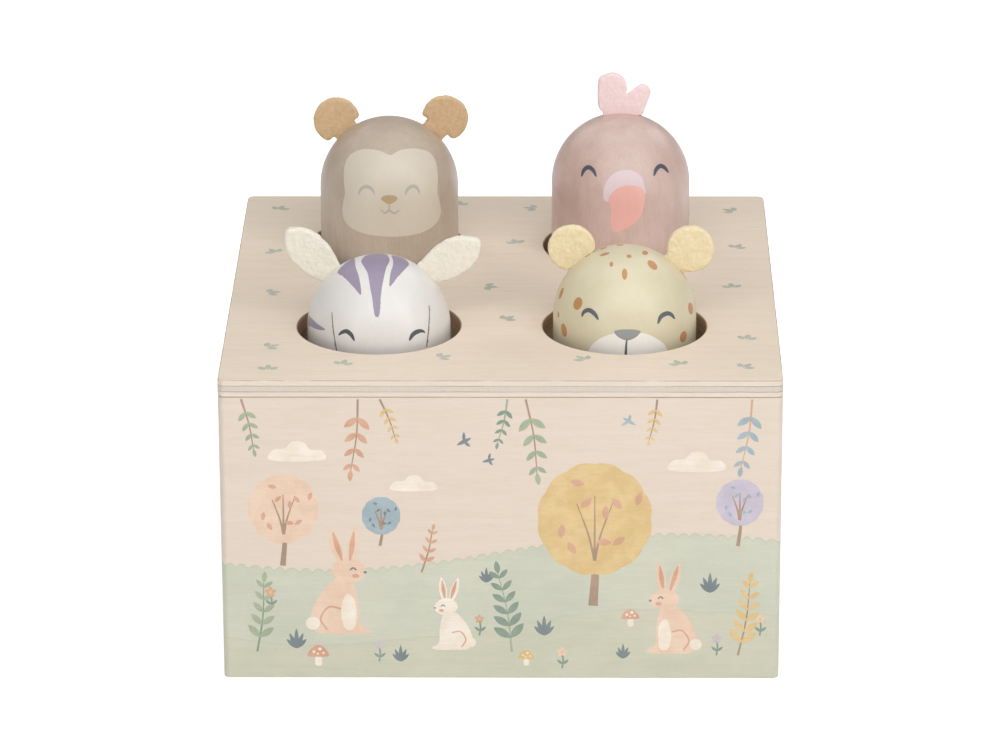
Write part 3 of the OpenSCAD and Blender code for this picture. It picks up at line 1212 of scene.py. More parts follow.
@dataclass
class WallPicture:
    """A painted landscape on one wall: shapes in order, each on top of those before it.

    Args:
        name: The piece's name.
        turn: Degrees from the front round to the wall.
        reach: Distance from the box's middle to the wall's face, in metres.
        shapes: Ink, outline and layer of each shape.
    """

    name: str
    turn: float
    reach: float
    shapes: list[tuple[Ink, Outline, int]] = field(default_factory=list)

    def paint(self, ink: Ink, outline: Outline, layer: int = 1) -> None:
        """Adds a shape."""
        self.shapes.append((ink, outline, layer))

    def tuft(self, x: float, y: float, high: float, ink: Ink = SLATE, blades: int = 5) -> None:
        """Paints a tuft of grass.

        Args:
            x: Its place along the wall, in millimetres.
            y: Its height.
            high: Length of its middle blade.
            ink: The ink.
            blades: How many blades it has.
        """
        for index in range(blades):
            lean = (index / (blades - 1) - 0.5) * 90
            length = high * (1 - 0.35 * abs(lean) / 45)
            self.paint(ink, leaf(x, y, length, high * 0.2, lean), 1 + index % 2)

    def sprig(self, x: float, y: float, high: float, lean: float, ink: Ink, stem: Ink,
              pairs: int = 5) -> None:
        """Paints a stem with leaves in pairs.

        Args:
            x: The stem's foot.
            y: The stem's foot.
            high: Its length.
            lean: Degrees from straight up, clockwise.
            ink: The leaves' ink.
            stem: The stem's ink.
            pairs: How many pairs of leaves it has.
        """
        a = math.radians(lean)
        tip_x, tip_y = x + high * math.sin(a), y + high * math.cos(a)
        bend = (x + high * 0.5 * math.sin(a) + high * 0.03, y + high * 0.5 * math.cos(a))
        self.paint(stem, stroke([(x, y), bend, (tip_x, tip_y)], lambda share: 0.62 - 0.35 * share))
        for index in range(pairs):
            share = (index + 1.2) / (pairs + 0.6)
            at_x = x + high * share * math.sin(a) + high * 0.03 * math.sin(math.pi * share)
            at_y = y + high * share * math.cos(a)
            size = high * 0.23 * (1.1 - 0.5 * share)
            for side in (-1, 1):
                self.paint(ink, leaf(at_x, at_y, size, size * 0.42, lean + side * 48), 2)
        self.paint(ink, leaf(tip_x, tip_y, high * 0.16, high * 0.07, lean), 2)

    def flower(self, x: float, y: float, size: float, petal: Ink, eye: Ink, stem: float = 0.0) -> None:
        """Paints a flower of five petals, on a stem with two leaves if it has one.

        Args:
            x: Its middle.
            y: Its middle.
            size: Half its width.
            petal: The petals' ink.
            eye: The middle's ink.
            stem: The stem's length, or 0 for none.
        """
        if stem:
            self.paint(FOREST, stroke([(x, y - stem), (x + 0.3, y - stem / 2), (x, y)], lambda share: 0.5))
            for side in (-1, 1):
                self.paint(FOREST, leaf(x + 0.2, y - stem * 0.75, stem * 0.42, stem * 0.16, side * 50), 2)
        for index in range(5):
            a = math.tau * index / 5 + 0.3
            self.paint(petal, oval(x + size * 0.55 * math.cos(a), y + size * 0.55 * math.sin(a),
                                   size * 0.48, size * 0.34, math.degrees(a), 18), 2 + index % 2)
        self.paint(eye, oval(x, y, size * 0.3, size * 0.3, 0, 16), 4)

    def tree(self, x: float, y: float, high: float, crown: float, ink: Ink, inner: Ink) -> None:
        """Paints a tree with a round, lightly scalloped crown.

        Args:
            x: The trunk's foot.
            y: The trunk's foot.
            high: Height of the crown's middle above it.
            crown: The crown's radius.
            ink: The crown's ink.
            inner: Ink of the leaves in it.
        """
        self.paint(BROWN, stroke([(x - 0.4, y), (x + 0.3, y + high * 0.5), (x, y + high)],
                                 lambda share: crown * (0.17 - 0.09 * share)))
        around = [math.tau * i / 72 for i in range(72)]
        edge = [crown * (1 + 0.035 * abs(math.sin(6 * a))) for a in around]
        top = y + high
        outline = [(x + r * math.cos(a), top + r * 1.06 * math.sin(a)) for a, r in zip(around, edge)]
        self.paint(ink, outline, 2)
        for lean, share in ((0, 0.9), (-34, 0.72), (32, 0.76)):
            a = math.radians(lean)
            fork = (x + crown * 0.2 * math.sin(a), top - crown * 0.3)
            tip = (x + crown * share * 0.8 * math.sin(a), top + crown * share * 0.5 * math.cos(a))
            twig = stroke([(x, top - crown * 0.8), fork, tip], lambda along: 0.75 - 0.5 * along)
            self.paint(BROWN, twig, 3)
        for index in range(9):
            a = index * GOLDEN_ANGLE
            r = crown * 0.82 * math.sqrt((index + 0.5) / 9)
            self.paint(inner, leaf(x + r * math.cos(a), top + r * math.sin(a), crown * 0.26, crown * 0.13,
                                   index * 47.0), 4)

    def toadstool(self, x: float, y: float, size: float, cap: Ink) -> None:
        """Paints a toadstool.

        Args:
            x: Its foot.
            y: Its foot.
            size: Its height.
            cap: The cap's ink.
        """
        self.paint(CREAM, curve_through([(x - size * 0.14, y), (x - size * 0.11, y + size * 0.5),
                                         (x + size * 0.11, y + size * 0.5), (x + size * 0.16, y)], True))
        self.paint(cap, curve_through([(x - size * 0.5, y + size * 0.45), (x - size * 0.3, y + size * 0.85),
                                       (x, y + size), (x + size * 0.3, y + size * 0.85),
                                       (x + size * 0.5, y + size * 0.45), (x, y + size * 0.4)], True), 2)
        for dx, dy, r in ((-0.2, 0.66, 0.07), (0.08, 0.8, 0.08), (0.24, 0.6, 0.06), (-0.02, 0.56, 0.05)):
            self.paint(CREAM, oval(x + size * dx, y + size * dy, size * r, size * r, 0, 14), 3)

    def cloud(self, x: float, y: float, size: float, ink: Ink = CREAM) -> None:
        """Paints a small cloud.

        Args:
            x: Its middle.
            y: Its flat underside.
            size: Half its width.
            ink: The ink.
        """
        lobes = [(-1, 0), (-0.8, 0.32), (-0.4, 0.38), (-0.15, 0.62), (0.25, 0.6), (0.45, 0.34), (0.85, 0.3),
                 (1, 0), (0.5, -0.1), (-0.5, -0.1)]
        self.paint(ink, curve_through([(x + size * u, y + size * v) for u, v in lobes], True))

    def bird(self, x: float, y: float, size: float, turn: float, ink: Ink) -> None:
        """Paints a small bird on the wing.

        Args:
            x: Its tail's end.
            y: Its tail's end.
            size: Its length.
            turn: Which way it flies, in degrees from straight up, clockwise.
            ink: The ink.
        """
        self.paint(ink, leaf(x, y, size, size * 0.26, turn), 1)
        for lean, share in ((-62, 0.62), (68, 0.5)):
            self.paint(ink, leaf(x + size * 0.5 * math.sin(math.radians(turn)),
                                 y + size * 0.5 * math.cos(math.radians(turn)), size * share, size * 0.2,
                                 turn + lean), 2)

    def hare(self, x: float, y: float, size: float, mirror: bool = False, coat: Ink = PEACH) -> None:
        """Paints a sitting hare of simple round shapes.

        Args:
            x: The middle of its feet.
            y: The ground under it.
            size: Its height without the ears.
            mirror: True if it looks to the left.
            coat: The coat's ink.
        """

        def put(ink: Ink, outline: Outline, layer: int) -> None:
            """Paints one of its shapes at its place and size."""
            self.paint(ink, moved(outline, x, y, size, mirror), layer)

        step = 0.03
        put(coat, curve_through([(-0.34, 0.0), (-0.4, 0.24), (-0.26, 0.55), (-0.06, 0.74), (0.13, 0.68),
                                 (0.2, 0.42), (0.22, 0.12), (0.34, 0.03), (0.3, -0.02), (0.0, -0.03)], True,
                                 step), 1)
        put(CREAM, curve_through([(0.02, 0.06), (-0.02, 0.3), (0.05, 0.52), (0.16, 0.42), (0.17, 0.15),
                                  (0.12, 0.03)], True, step), 2)
        put(coat, curve_through([(-0.13, 0.82), (-0.06, 0.98), (0.1, 1.02), (0.26, 0.93), (0.3, 0.8),
                                 (0.2, 0.7), (0.02, 0.67)], True, step), 3)
        for lean, root in ((-16, 0.0), (8, 0.1)):
            put(coat, moved(leaf(0, 0, 0.52, 0.15, lean), root, 0.92), 2)
            put(TERRACOTTA, moved(leaf(0, 0, 0.4, 0.07, lean), root, 0.98), 3)
        put(CREAM, oval(-0.38, 0.12, 0.09, 0.09, 0, 18), 2)
        put(SLATE, stroke([(0.1, 0.85), (0.14, 0.88), (0.18, 0.85)], lambda share: 0.022, 0.01), 4)
        put(SLATE, oval(0.29, 0.82, 0.022, 0.018, 0, 12), 4)
        put(TERRACOTTA, oval(0.17, 0.77, 0.045, 0.03, 0, 14), 4)
        put(TERRACOTTA, stroke([(-0.2, 0.03), (-0.28, 0.18), (-0.18, 0.34), (-0.02, 0.32)],
                               lambda share: 0.024, 0.02), 3)

    def build(self) -> bpy.types.Object:
        """Lays the shapes on the wall as thin films.

        Returns:
            The piece.
        """
        inks = list(dict.fromkeys(ink.name for ink, _, _ in self.shapes))
        finishes = {ink.name: ink for ink, _, _ in self.shapes}
        bm = bmesh.new()
        stand = Matrix.Rotation(math.radians(90), 4, "X")
        turn = Matrix.Rotation(math.radians(self.turn), 4, "Z")
        for order, (ink, outline, layer) in enumerate(self.shapes):
            part = bmesh.new()
            for vert in flat_shape(part, outline):
                vert.co.z = self.reach + (layer * WALL_FILM + order % 7 * WALL_STEP) * MM
            for face in part.faces:
                face.material_index = inks.index(ink.name)
            part.normal_update()
            grown = bmesh.ops.extrude_face_region(part, geom=part.faces[:], use_keep_orig=True)
            for vert in grown["geom"]:
                if isinstance(vert, bmesh.types.BMVert):
                    vert.co.z = self.reach - WALL_ROOT * MM
            bmesh.ops.recalc_face_normals(part, faces=part.faces[:])
            pour(part, bm)
        bmesh.ops.transform(bm, matrix=turn @ stand, verts=bm.verts[:])
        return add_piece(self.name, bm, [finishes[name] for name in inks], "box", "printed_ply", even=False)


def front_picture(picture: WallPicture) -> None:
    """Composes the front: two hares, three trees, flowers, toadstools and clouds.

    Args:
        picture: The empty picture.
    """
    for x, y, size in ((-56, 66, 8), (-24, 57, 6.5), (54, 63, 8)):
        picture.cloud(x, y, size)
    for x, high, lean, ink, stem in ((-71, 15, 168, SAGE, BROWN), (-39, 21, 186, TERRACOTTA, BROWN),
                                     (-33, 12, 160, MUSTARD, BROWN), (2, 13, 192, FOREST, SAGE),
                                     (7, 22, 172, SAGE, BROWN), (43, 12, 190, MUSTARD, BROWN),
                                     (69, 20, 188, BLUE, TERRACOTTA)):
        picture.sprig(x, 83.5, high, lean, ink, stem, 4)
    for x, y, size, turn, ink in ((-12, 70, 4.5, 62, SLATE), (-5, 65, 3.6, 74, SLATE),
                                  (37, 76, 4, -58, BLUE)):
        picture.bird(x, y, size, turn, ink)
    picture.tree(-60, 34, 17, 9.5, PEACH, TERRACOTTA)
    picture.tree(-33, 40, 9, 5.2, BLUE, SLATE)
    picture.tree(26, 22, 26, 15.5, MUSTARD, TERRACOTTA)
    picture.tree(66, 40, 13, 6.4, LILAC, BLUE)
    picture.hare(-44, 14, 22)
    picture.hare(-14, 9, 15, mirror=True, coat=CREAM)
    picture.hare(47, 8, 19, mirror=True)
    picture.sprig(-68, 8, 21, 6, SAGE, FOREST)
    picture.sprig(3, 8, 24, -9, FOREST, SAGE, 6)
    picture.sprig(66, 7, 22, 8, MUSTARD, BROWN, 6)
    picture.sprig(-22, 32, 13, 14, TERRACOTTA, BROWN, 4)
    for x, y, high in ((-57, 9, 6), (-28, 5, 5), (12, 13, 6), (34, 6, 4.5), (58, 26, 6), (-4, 29, 4.5)):
        picture.tuft(x, y, high)
    for x, y, size, ink in ((-64, 26, 1.6, TERRACOTTA), (-34, 10, 1.4, LILAC), (17, 8, 1.5, PEACH),
                            (60, 12, 1.4, LILAC), (-6, 18, 1.3, TERRACOTTA), (72, 18, 1.4, PEACH)):
        picture.flower(x, y, size, ink, MUSTARD, 5)
    for x, y, size, ink in ((-51, 4, 6, TERRACOTTA), (7, 4, 4.5, MUSTARD), (36, 16, 5, TERRACOTTA)):
        picture.toadstool(x, y, size, ink)


def side_picture(picture: WallPicture, seed: int) -> None:
    """Composes a side or the back from the same motifs, spread by a seeded draw.

    Args:
        picture: The empty picture.
        seed: Starts the draw.
    """
    draw = random.Random(seed)
    crowns = ((MUSTARD, TERRACOTTA), (PEACH, TERRACOTTA), (BLUE, SLATE), (LILAC, BLUE))
    for index, x in enumerate((-56, -18, 22, 58)):
        ink, inner = crowns[(index + seed) % len(crowns)]
        crown = draw.uniform(6, 13)
        picture.tree(x + draw.uniform(-5, 5), draw.uniform(24, 36), crown * 1.6, crown, ink, inner)
        picture.cloud(x + draw.uniform(-8, 12), draw.uniform(66, 77), draw.uniform(5, 9))
    picture.hare(draw.uniform(-44, -34), 10, 19, mirror=draw.random() < 0.5)
    picture.hare(draw.uniform(34, 44), 13, 15, mirror=draw.random() < 0.5, coat=CREAM)
    for index, x in enumerate((-66, -2, 12, 66)):
        ink = (SAGE, TERRACOTTA, FOREST, MUSTARD)[(index + seed) % 4]
        picture.sprig(x + draw.uniform(-2, 2), draw.uniform(6, 12), draw.uniform(15, 23),
                      draw.uniform(-10, 10), ink, BROWN)
    for x in (-54, -26, -12, 20, 30, 52):
        picture.tuft(x + draw.uniform(-3, 3), draw.uniform(4, 24), draw.uniform(4, 6))
        picture.flower(x + draw.uniform(-6, 6), draw.uniform(10, 30), 1.5, (LILAC, PEACH, TERRACOTTA)[x % 3],
                       MUSTARD, 5)


@dataclass
class Box:
    """The plywood box: lid, four printed walls, base and corner blocks.

    Args:
        arris: Rounding of the lid's edges, in millimetres.
        wall_arris: Rounding of the walls' edges.
        print_depth: How far the walls' faces lie inside the frame's, for the print.
        step_arris: Rounding where a shallow step leaves no room for more.
        block_arris: Rounding of the corner blocks.
        rim: How near the lid's outside an edge lies that isn't a bore's.
        skin: How near a wall's outside a face lies that is printed.
    """

    arris: float = 0.45
    wall_arris: float = 0.3
    print_depth: float = 0.05
    step_arris: float = 0.08
    block_arris: float = 0.4
    rim: float = 4.0
    skin: float = 3.2

    def lid(self) -> None:
        """Builds the lid, with its rims rounded and its edges showing the plies, the bores' edges darkened
        as painted shade.
        """
        low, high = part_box("lid_panel")
        edge = PlyEdge("lid_edge", low.z, high.z - low.z)
        # The bores' sawn edges are darkened as painted shade.
        bore = PlyEdge("lid_bore", low.z, high.z - low.z, "#c2ad93")

        def pick(face: bmesh.types.BMFace) -> int:
            """Picks the face, the outer edge or a bore.

            Args:
                face: One of the lid's faces.

            Returns:
                The number of its finish.
            """
            middle = face.calc_center_median()
            outside = max(abs(middle.x), abs(middle.y)) > high.x - self.rim * MM
            return face_or_edge(face) and (1 if outside else 2)

        add_piece("lid", worked_copy("lid_panel", self.arris, 3), [LID_FACE, edge, bore], "box", "lid_ply",
                  ["lid_panel"], pick)

    def lid_print(self) -> None:
        """Prints small trios of drops round the lid's rim."""
        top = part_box("lid_panel")[1].z
        bm = bmesh.new()
        places = ((-68, 64, 20), (-66, 26, -35), (-68, -8, 70), (-66, -52, 60), (-14, 68, 5), (10, 66, -80),
                  (-6, -2, 100), (4, 34, -20), (0, -30, 45), (69, 63, -60), (67, 30, 30), (66, -4, -10),
                  (68, -46, 15), (-44, -66, 15), (-18, -60, 65), (24, -62, -40), (50, -66, -25),
                  (-64, -70, 0), (66, -68, 40))
        for x, y, turn in places:
            for index, lean in enumerate((-42, 0, 42)):
                length = 3.8 if index == 1 else 3.0
                start = math.radians(turn + lean)
                root = (x + math.sin(start), y + math.cos(start))
                flat_shape(bm, leaf(*root, length, 1.8, turn + lean))
        for vert in bm.verts:
            vert.co.z = top + LID_FILM * MM
        close_film(bm, LID_ROOT)
        add_piece("lid_print", bm, [PALE_SAGE], "box", "lid_ply", even=False)

    def wall(self, node: str, sideways: bool, seed: float) -> None:
        """Builds a wall, its printed face drawn in a little for the print.

        Args:
            node: The wall's node.
            sideways: True where it runs front to back.
            seed: Shifts its ground line.
        """
        axis = 0 if sideways else 1
        low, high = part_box(node)
        outer = low[axis] if abs(low[axis]) > abs(high[axis]) else high[axis]
        inward = -math.copysign(self.print_depth * MM, outer)

        def draw_in(bm: bmesh.types.BMesh) -> None:
            """Moves the outer face.

            Args:
                bm: The wall's mesh.
            """
            for vert in bm.verts:
                if abs(vert.co[axis] - outer) < MERGE:
                    vert.co[axis] += inward

        def pick(face: bmesh.types.BMFace) -> int:
            """Picks the print for what shows outside and bare wood for the rest.

            Args:
                face: One of the wall's faces.

            Returns:
                The number of its finish.
            """
            middle = face.calc_center_median()
            reach = max(abs(middle.x), abs(middle.y))
            outside = Vector((middle.x, middle.y, 0)).dot(face.normal) > 0
            upright = abs(face.normal.z) < UPRIGHT
            return 0 if outside and upright and reach > abs(outer) - self.skin * MM else 1

        printed = PrintedPly(node + "_print", sideways, seed)
        add_piece(node.replace("_panel", "_wall"), worked_copy(node, self.wall_arris, dressed=draw_in),
                  [printed, INNER_FACE], "box", "printed_ply", [node], pick)

    def walls(self) -> None:
        """Builds the four walls and their pictures."""
        for index, (node, sideways, turn) in enumerate((
            ("front_panel", False, 0), ("right_panel", True, 90), ("back_panel", False, 180),
            ("left_panel", True, 270),
        )):
            self.wall(node, sideways, index * 3.7)
            low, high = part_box(node)
            reach = max(abs(low.x), abs(high.x)) if sideways else max(abs(low.y), abs(high.y))
            picture = WallPicture(node.replace("_panel", "_picture"), turn, reach - self.print_depth * MM)
            if index:
                side_picture(picture, index)
            else:
                front_picture(picture)
            picture.build()

    def inside(self) -> None:
        """Builds the base and the corner blocks, and dresses the screws."""
        low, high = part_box("base_panel")
        edge = PlyEdge("base_edge", low.z, high.z - low.z)
        add_piece("base", worked_copy("base_panel", self.step_arris, 1), [BASE_FACE, edge], "box",
                  "base_ply", ["base_panel"], face_or_edge)
        for depth in ("front", "back"):
            for side in ("left", "right"):
                node = f"corner_block_{depth}_{side}"
                add_piece(f"block_{depth}_{side}", worked_copy(node, self.block_arris), [BARE_WOOD], "box",
                          "bare_wood", [node])
        for node in ("base_screws", "post_screws"):
            dress_node(node, SCREW_STEEL)

    def build(self) -> None:
        """Builds the whole box."""
        self.lid()
        self.lid_print()
        self.walls()
        self.inside()


# ---- The pegs and what stands under them ----

PEG_STEPS = 120
DOME_STEPS = 30
COIL_STEPS = 36
WIRE_SIDES = 12
# The felt's lumps: how many to a metre, and their height in millimetres
FELT_LUMPS = ((420, 0.16), (1500, 0.1))


@dataclass
class Column:
    """One animal: its peg and prints, its felt, and the post, spring, disc and boss below it.

    Args:
        animal: The animal's name, as the frame's nodes begin.
        paint: The peg's paint.
        felt: The ears' or crest's felt.
        felt_slot: The record's slot for it.
        felt_nodes: The felt's nodes, without the animal's name.
        prints: What is printed on the peg.
        straight: Length of the peg below its dome, in millimetres, as all that follow.
        edge_cut: Size of the cut round the peg's foot.
        pilot_d: Diameter of the hole for the screw.
        pilot_l: Its depth.
        wire_d: Diameter of the spring's wire.
        end_pitch: Rise of the spring's two end turns.
        turns: How many turns it has, the end ones included.
        arris: Rounding of the post.
        disc_arris: Rounding of the disc.
        boss_arris: Rounding of the boss.
        felt_arris: Wear of the felt's cut edges.
        felt_grid: Size of the grid that the felt is made on.
    """

    animal: str
    paint: SatinPaint
    felt: Felt
    felt_slot: str
    felt_nodes: tuple[str, ...]
    prints: list[PegPrint]
    straight: float = 27.0
    edge_cut: float = 0.6
    pilot_d: float = 3.2
    pilot_l: float = 13.3
    wire_d: float = 1.0
    end_pitch: float = 1.5
    turns: int = 9
    arris: float = 0.4
    disc_arris: float = 0.3
    boss_arris: float = 0.08
    felt_arris: float = 0.35
    felt_grid: float = 0.28

    def node(self, part: str) -> str:
        """Gives the full name of one of the animal's nodes."""
        return f"{self.animal}_{part}"

    @property
    def body(self) -> str:
        """The body that the peg moves as."""
        return self.node("peg")

    def middle(self) -> tuple[Vector, float]:
        """Gives the dome's middle and the peg's radius.

        Returns:
            The middle, and the radius in metres.
        """
        low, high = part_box(self.node("peg"))
        radius = (high.x - low.x) / 2
        return Vector(((low.x + high.x) / 2, (low.y + high.y) / 2, low.z + self.straight * MM)), radius

    def peg(self) -> None:
        """Turns the peg: half its outline, spun round its axis."""
        middle, radius = self.middle()
        foot = -self.straight * MM
        pilot = self.pilot_d / 2 * MM
        angles = [math.radians(90 / DOME_STEPS * i) for i in range(DOME_STEPS + 1)]
        dome = [(radius * math.sin(a), radius * math.cos(a)) for a in angles]
        corner = [(radius, foot + self.edge_cut * MM), (radius - self.edge_cut * MM, foot)]
        bore = [(pilot, foot), (pilot, foot + self.pilot_l * MM), (0.0, foot + self.pilot_l * MM)]
        bm = bmesh.new()
        verts = [bm.verts.new((x, 0, z)) for x, z in dome + corner + bore]
        edges = [bm.edges.new(pair) for pair in zip(verts, verts[1:])]
        bmesh.ops.spin(bm, geom=verts + edges, cent=(0, 0, 0), axis=(0, 0, 1), angle=math.tau,
                       steps=PEG_STEPS, use_merge=True)
        bmesh.ops.remove_doubles(bm, verts=bm.verts[:], dist=MERGE)
        bmesh.ops.dissolve_degenerate(bm, edges=bm.edges[:], dist=TOUCH)
        bmesh.ops.recalc_face_normals(bm, faces=bm.faces[:])
        bmesh.ops.translate(bm, verts=bm.verts[:], vec=middle)
        add_piece(self.node("turned_peg"), bm, [self.paint], self.body, self.node("paint"),
                  [self.node("peg")])
        for marks in self.prints:
            marks.build(middle, radius, self.body, self.node("paint"))

    def soft_felt(self) -> None:
        """Makes the felt: its edges worn round and its faces lightly matted."""
        for part in self.felt_nodes:
            node = self.node(part)
            bm = worked_copy(node, self.felt_arris)
            scrap_mesh = bpy.data.meshes.new("scrap")
            bm.to_mesh(scrap_mesh)
            bm.free()
            scrap = bpy.data.objects.new("scrap", scrap_mesh)
            bpy.context.scene.collection.objects.link(scrap)
            remesh = scrap.modifiers.new("even", "REMESH")
            remesh.mode = "VOXEL"
            remesh.voxel_size = self.felt_grid * MM
            ready = scrap.evaluated_get(bpy.context.evaluated_depsgraph_get())
            bm = bmesh.new()
            bm.from_mesh(ready.to_mesh())
            ready.to_mesh_clear()
            bpy.data.objects.remove(scrap)
            bpy.data.meshes.remove(scrap_mesh)
            for _ in range(2):
                bmesh.ops.smooth_vert(bm, verts=bm.verts[:], factor=0.5, use_axis_x=True, use_axis_y=True,
                                      use_axis_z=True)
            bm.normal_update()
            for vert in bm.verts:
                lump = sum(noise.noise(vert.co * often) * high for often, high in FELT_LUMPS)
                vert.co += vert.normal * lump * MM
            add_piece(node + "_felt", bm, [self.felt], self.body, self.felt_slot, [node], even=False)

    def spring(self) -> None:
        """Winds the spring: a round wire spun up its axis, its end turns closed."""
        low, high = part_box(self.node("spring"))
        wire = self.wire_d / 2 * MM
        centre = Vector(((low.x + high.x) / 2, (low.y + high.y) / 2, 0))
        radius = (high.x - low.x) / 2 - wire
        closed, working = self.end_pitch * MM, self.turns - 2
        span = high.z - low.z - 2 * wire
        pitches = [closed] + [(span - 2 * closed) / working] * working + [closed]
        bm = bmesh.new()
        ring = bmesh.ops.create_circle(bm, cap_ends=False, radius=wire, segments=WIRE_SIDES)["verts"]
        bmesh.ops.rotate(bm, verts=ring, cent=(0, 0, 0), matrix=Matrix.Rotation(math.radians(90), 3, "X"))
        bmesh.ops.translate(bm, verts=ring, vec=centre + Vector((radius, 0, low.z + wire)))
        end = bm.verts[:] + bm.edges[:]
        for pitch in pitches:
            end = bmesh.ops.spin(bm, geom=end, cent=centre, axis=(0, 0, 1), dvec=(0, 0, pitch / COIL_STEPS),
                                 angle=math.tau, steps=COIL_STEPS, use_merge=False)["geom_last"]
        bmesh.ops.remove_doubles(bm, verts=bm.verts[:], dist=MERGE)
        bmesh.ops.holes_fill(bm, edges=[e for e in bm.edges if e.is_boundary], sides=0)
        bmesh.ops.recalc_face_normals(bm, faces=bm.faces[:])
        piece = add_piece(self.node("coil"), bm, [SPRING_STEEL], None, "spring_steel", [self.node("spring")],
                          even=False)
        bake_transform(piece)

    def holders(self) -> None:
        """Builds the post under the spring, and the disc, boss and screw under the peg."""
        add_piece(self.node("spring_post"), worked_copy(self.node("post"), self.arris), [BARE_WOOD], "box",
                  "bare_wood", [self.node("post")])
        low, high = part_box(self.node("stop_disc"))
        edge = PlyEdge(self.node("disc_edge"), low.z, high.z - low.z)
        add_piece(self.node("disc"), worked_copy(self.node("stop_disc"), self.disc_arris), [DISC_WOOD, edge],
                  self.body, "base_ply", [self.node("stop_disc")], face_or_edge)
        add_piece(self.node("spring_boss"), worked_copy(self.node("boss"), self.boss_arris, 1), [BARE_WOOD],
                  self.body, "bare_wood", [self.node("boss")])
        dress_node(self.node("peg_screw"), SCREW_STEEL)

    def build(self) -> None:
        """Builds the whole column."""
        self.peg()
        self.soft_felt()
        self.spring()
        self.holders()


def eyelid(points: Sequence[Point], full: float = 1.3) -> Outline:
    """A closed, smiling eye: one brush line, thick in its middle."""
    return stroke(points, swell(full, 0.2), 0.3)


def peg_ink(name: str, colour: str, shade: str) -> SatinPaint:
    """An ink for the pegs, a little duller than their paint."""
    return SatinPaint(name, colour, shade, 0.45)


def zebra() -> Column:
    """The zebra, at the front left.

    Returns:
        Its column.
    """
    ink = peg_ink("zebra_stripe_ink", "#9a8fa3", "#887c95")
    lines = peg_ink("zebra_eye_ink", "#4b4e50", "#3b3e41")
    thin = peg_ink("zebra_line_ink", "#7b7976", "#6c6a67")
    stripes = [
        Mark(curve_through([(-4.7, 8.4), (-4.4, 10.6), (-3.5, 13.0), (-1.6, 14.4), (0.4, 14.6), (2.0, 13.6),
                            (2.9, 11.0), (3.2, 8.4), (2.5, 5.1), (1.9, 1.0), (1.2, -4.6), (0.8, -10.3),
                            (0.1, -11.0), (-0.6, -10.4), (-1.3, -6.0), (-2.1, -1.5), (-2.7, 2.3),
                            (-3.7, 5.1)], True), CROWN),
        Mark(curve_through([(-11.4, 6.6), (-9.6, 10.2), (-7.2, 13.4), (-6.6, 10.4), (-6.2, 6.0), (-5.2, 1.6),
                            (-4.4, -4.7), (-6.6, -1.8), (-9.6, 3.2)], True), CROWN),
        Mark(curve_through([(3.5, 1.0), (3.6, -2.3), (5.6, 1.4), (7.6, 5.6), (8.6, 9.2), (7.4, 12.4),
                            (5.6, 13.8), (4.0, 13.6), (3.6, 12.2), (4.1, 9.4), (4.2, 6.2), (3.8, 3.6)],
                            True), CROWN),
        Mark(stroke([(-7.6, -0.8), (-3.4, -0.2), (0.6, -0.1), (4.2, 0.2)],
                    lambda s: 2.7 * (1 - s) ** 0.6 + 0.2),
             Pad(-60, 10)),
    ]
    for turn, lengths in ((118, (11, 9)), (180, (12, 10)), (242, (9, 11))):
        for row, length in enumerate(lengths):
            stripes.append(Mark(stroke([(-length / 2, 0.3), (0, 0.9), (length / 2, 0.1)],
                                       lambda s: 2.1 * math.sin(math.pi * min(0.1 + s, 1)) ** 0.6),
                                Pad(turn, 12, 4.0 + 8 * row)))
    creases = [
        Mark(stroke([(-12.6, 3.4), (-12.4, 0.7), (-12.0, -2.8), (-11.3, -7.3)], lambda s: 0.2 + 0.12 * s),
             FACE),
        Mark(stroke([(14.4, 5.4), (14.5, 2.3), (14.2, -2.0), (13.7, -6.3)], lambda s: 0.2 + 0.1 * s), FACE),
    ]
    eyes = [
        Mark(eyelid([(-10.7, -3.0), (-9.7, -2.2), (-8.4, -1.9), (-7.1, -2.9), (-6.2, -4.6)], 1.2)),
        Mark(eyelid([(9.0, -4.5), (10.0, -2.8), (11.4, -1.9), (12.6, -1.8), (13.3, -2.3)], 1.2)),
    ]
    muzzle = [Mark(curve_through([(-9.5, -14.6), (-6, -11.2), (0, -10.0), (6, -11.2), (9.5, -14.6),
                                  (10.2, -20), (7, -24), (0, -25.4), (-7, -24), (-10.2, -20)], True))]
    nostrils = [Mark(oval(x, -14.4, 0.9, 1.3, turn, 16)) for x, turn in ((-3.6, 18), (3.6, -18))]
    nostrils.append(Mark(stroke([(-4, -19.5), (-2, -21), (0, -21.4), (2, -21), (4, -19.5)],
                                swell(0.7, 0.4))))
    return Column(
        "zebra", SatinPaint("zebra_satin", "#e2dfdb", "#d4d0cb"), Felt("cream_wool", "#f0eadc", "#e8e1d1"),
        "cream_felt", ("ear_left", "ear_right"),
        [PegPrint("zebra_stripes", ink, stripes), PegPrint("zebra_creases", thin, creases),
         PegPrint("zebra_face_lines", lines, eyes, 2), PegPrint("zebra_muzzle", ink, muzzle),
         PegPrint("zebra_nostrils", lines, nostrils, 2)],
    )


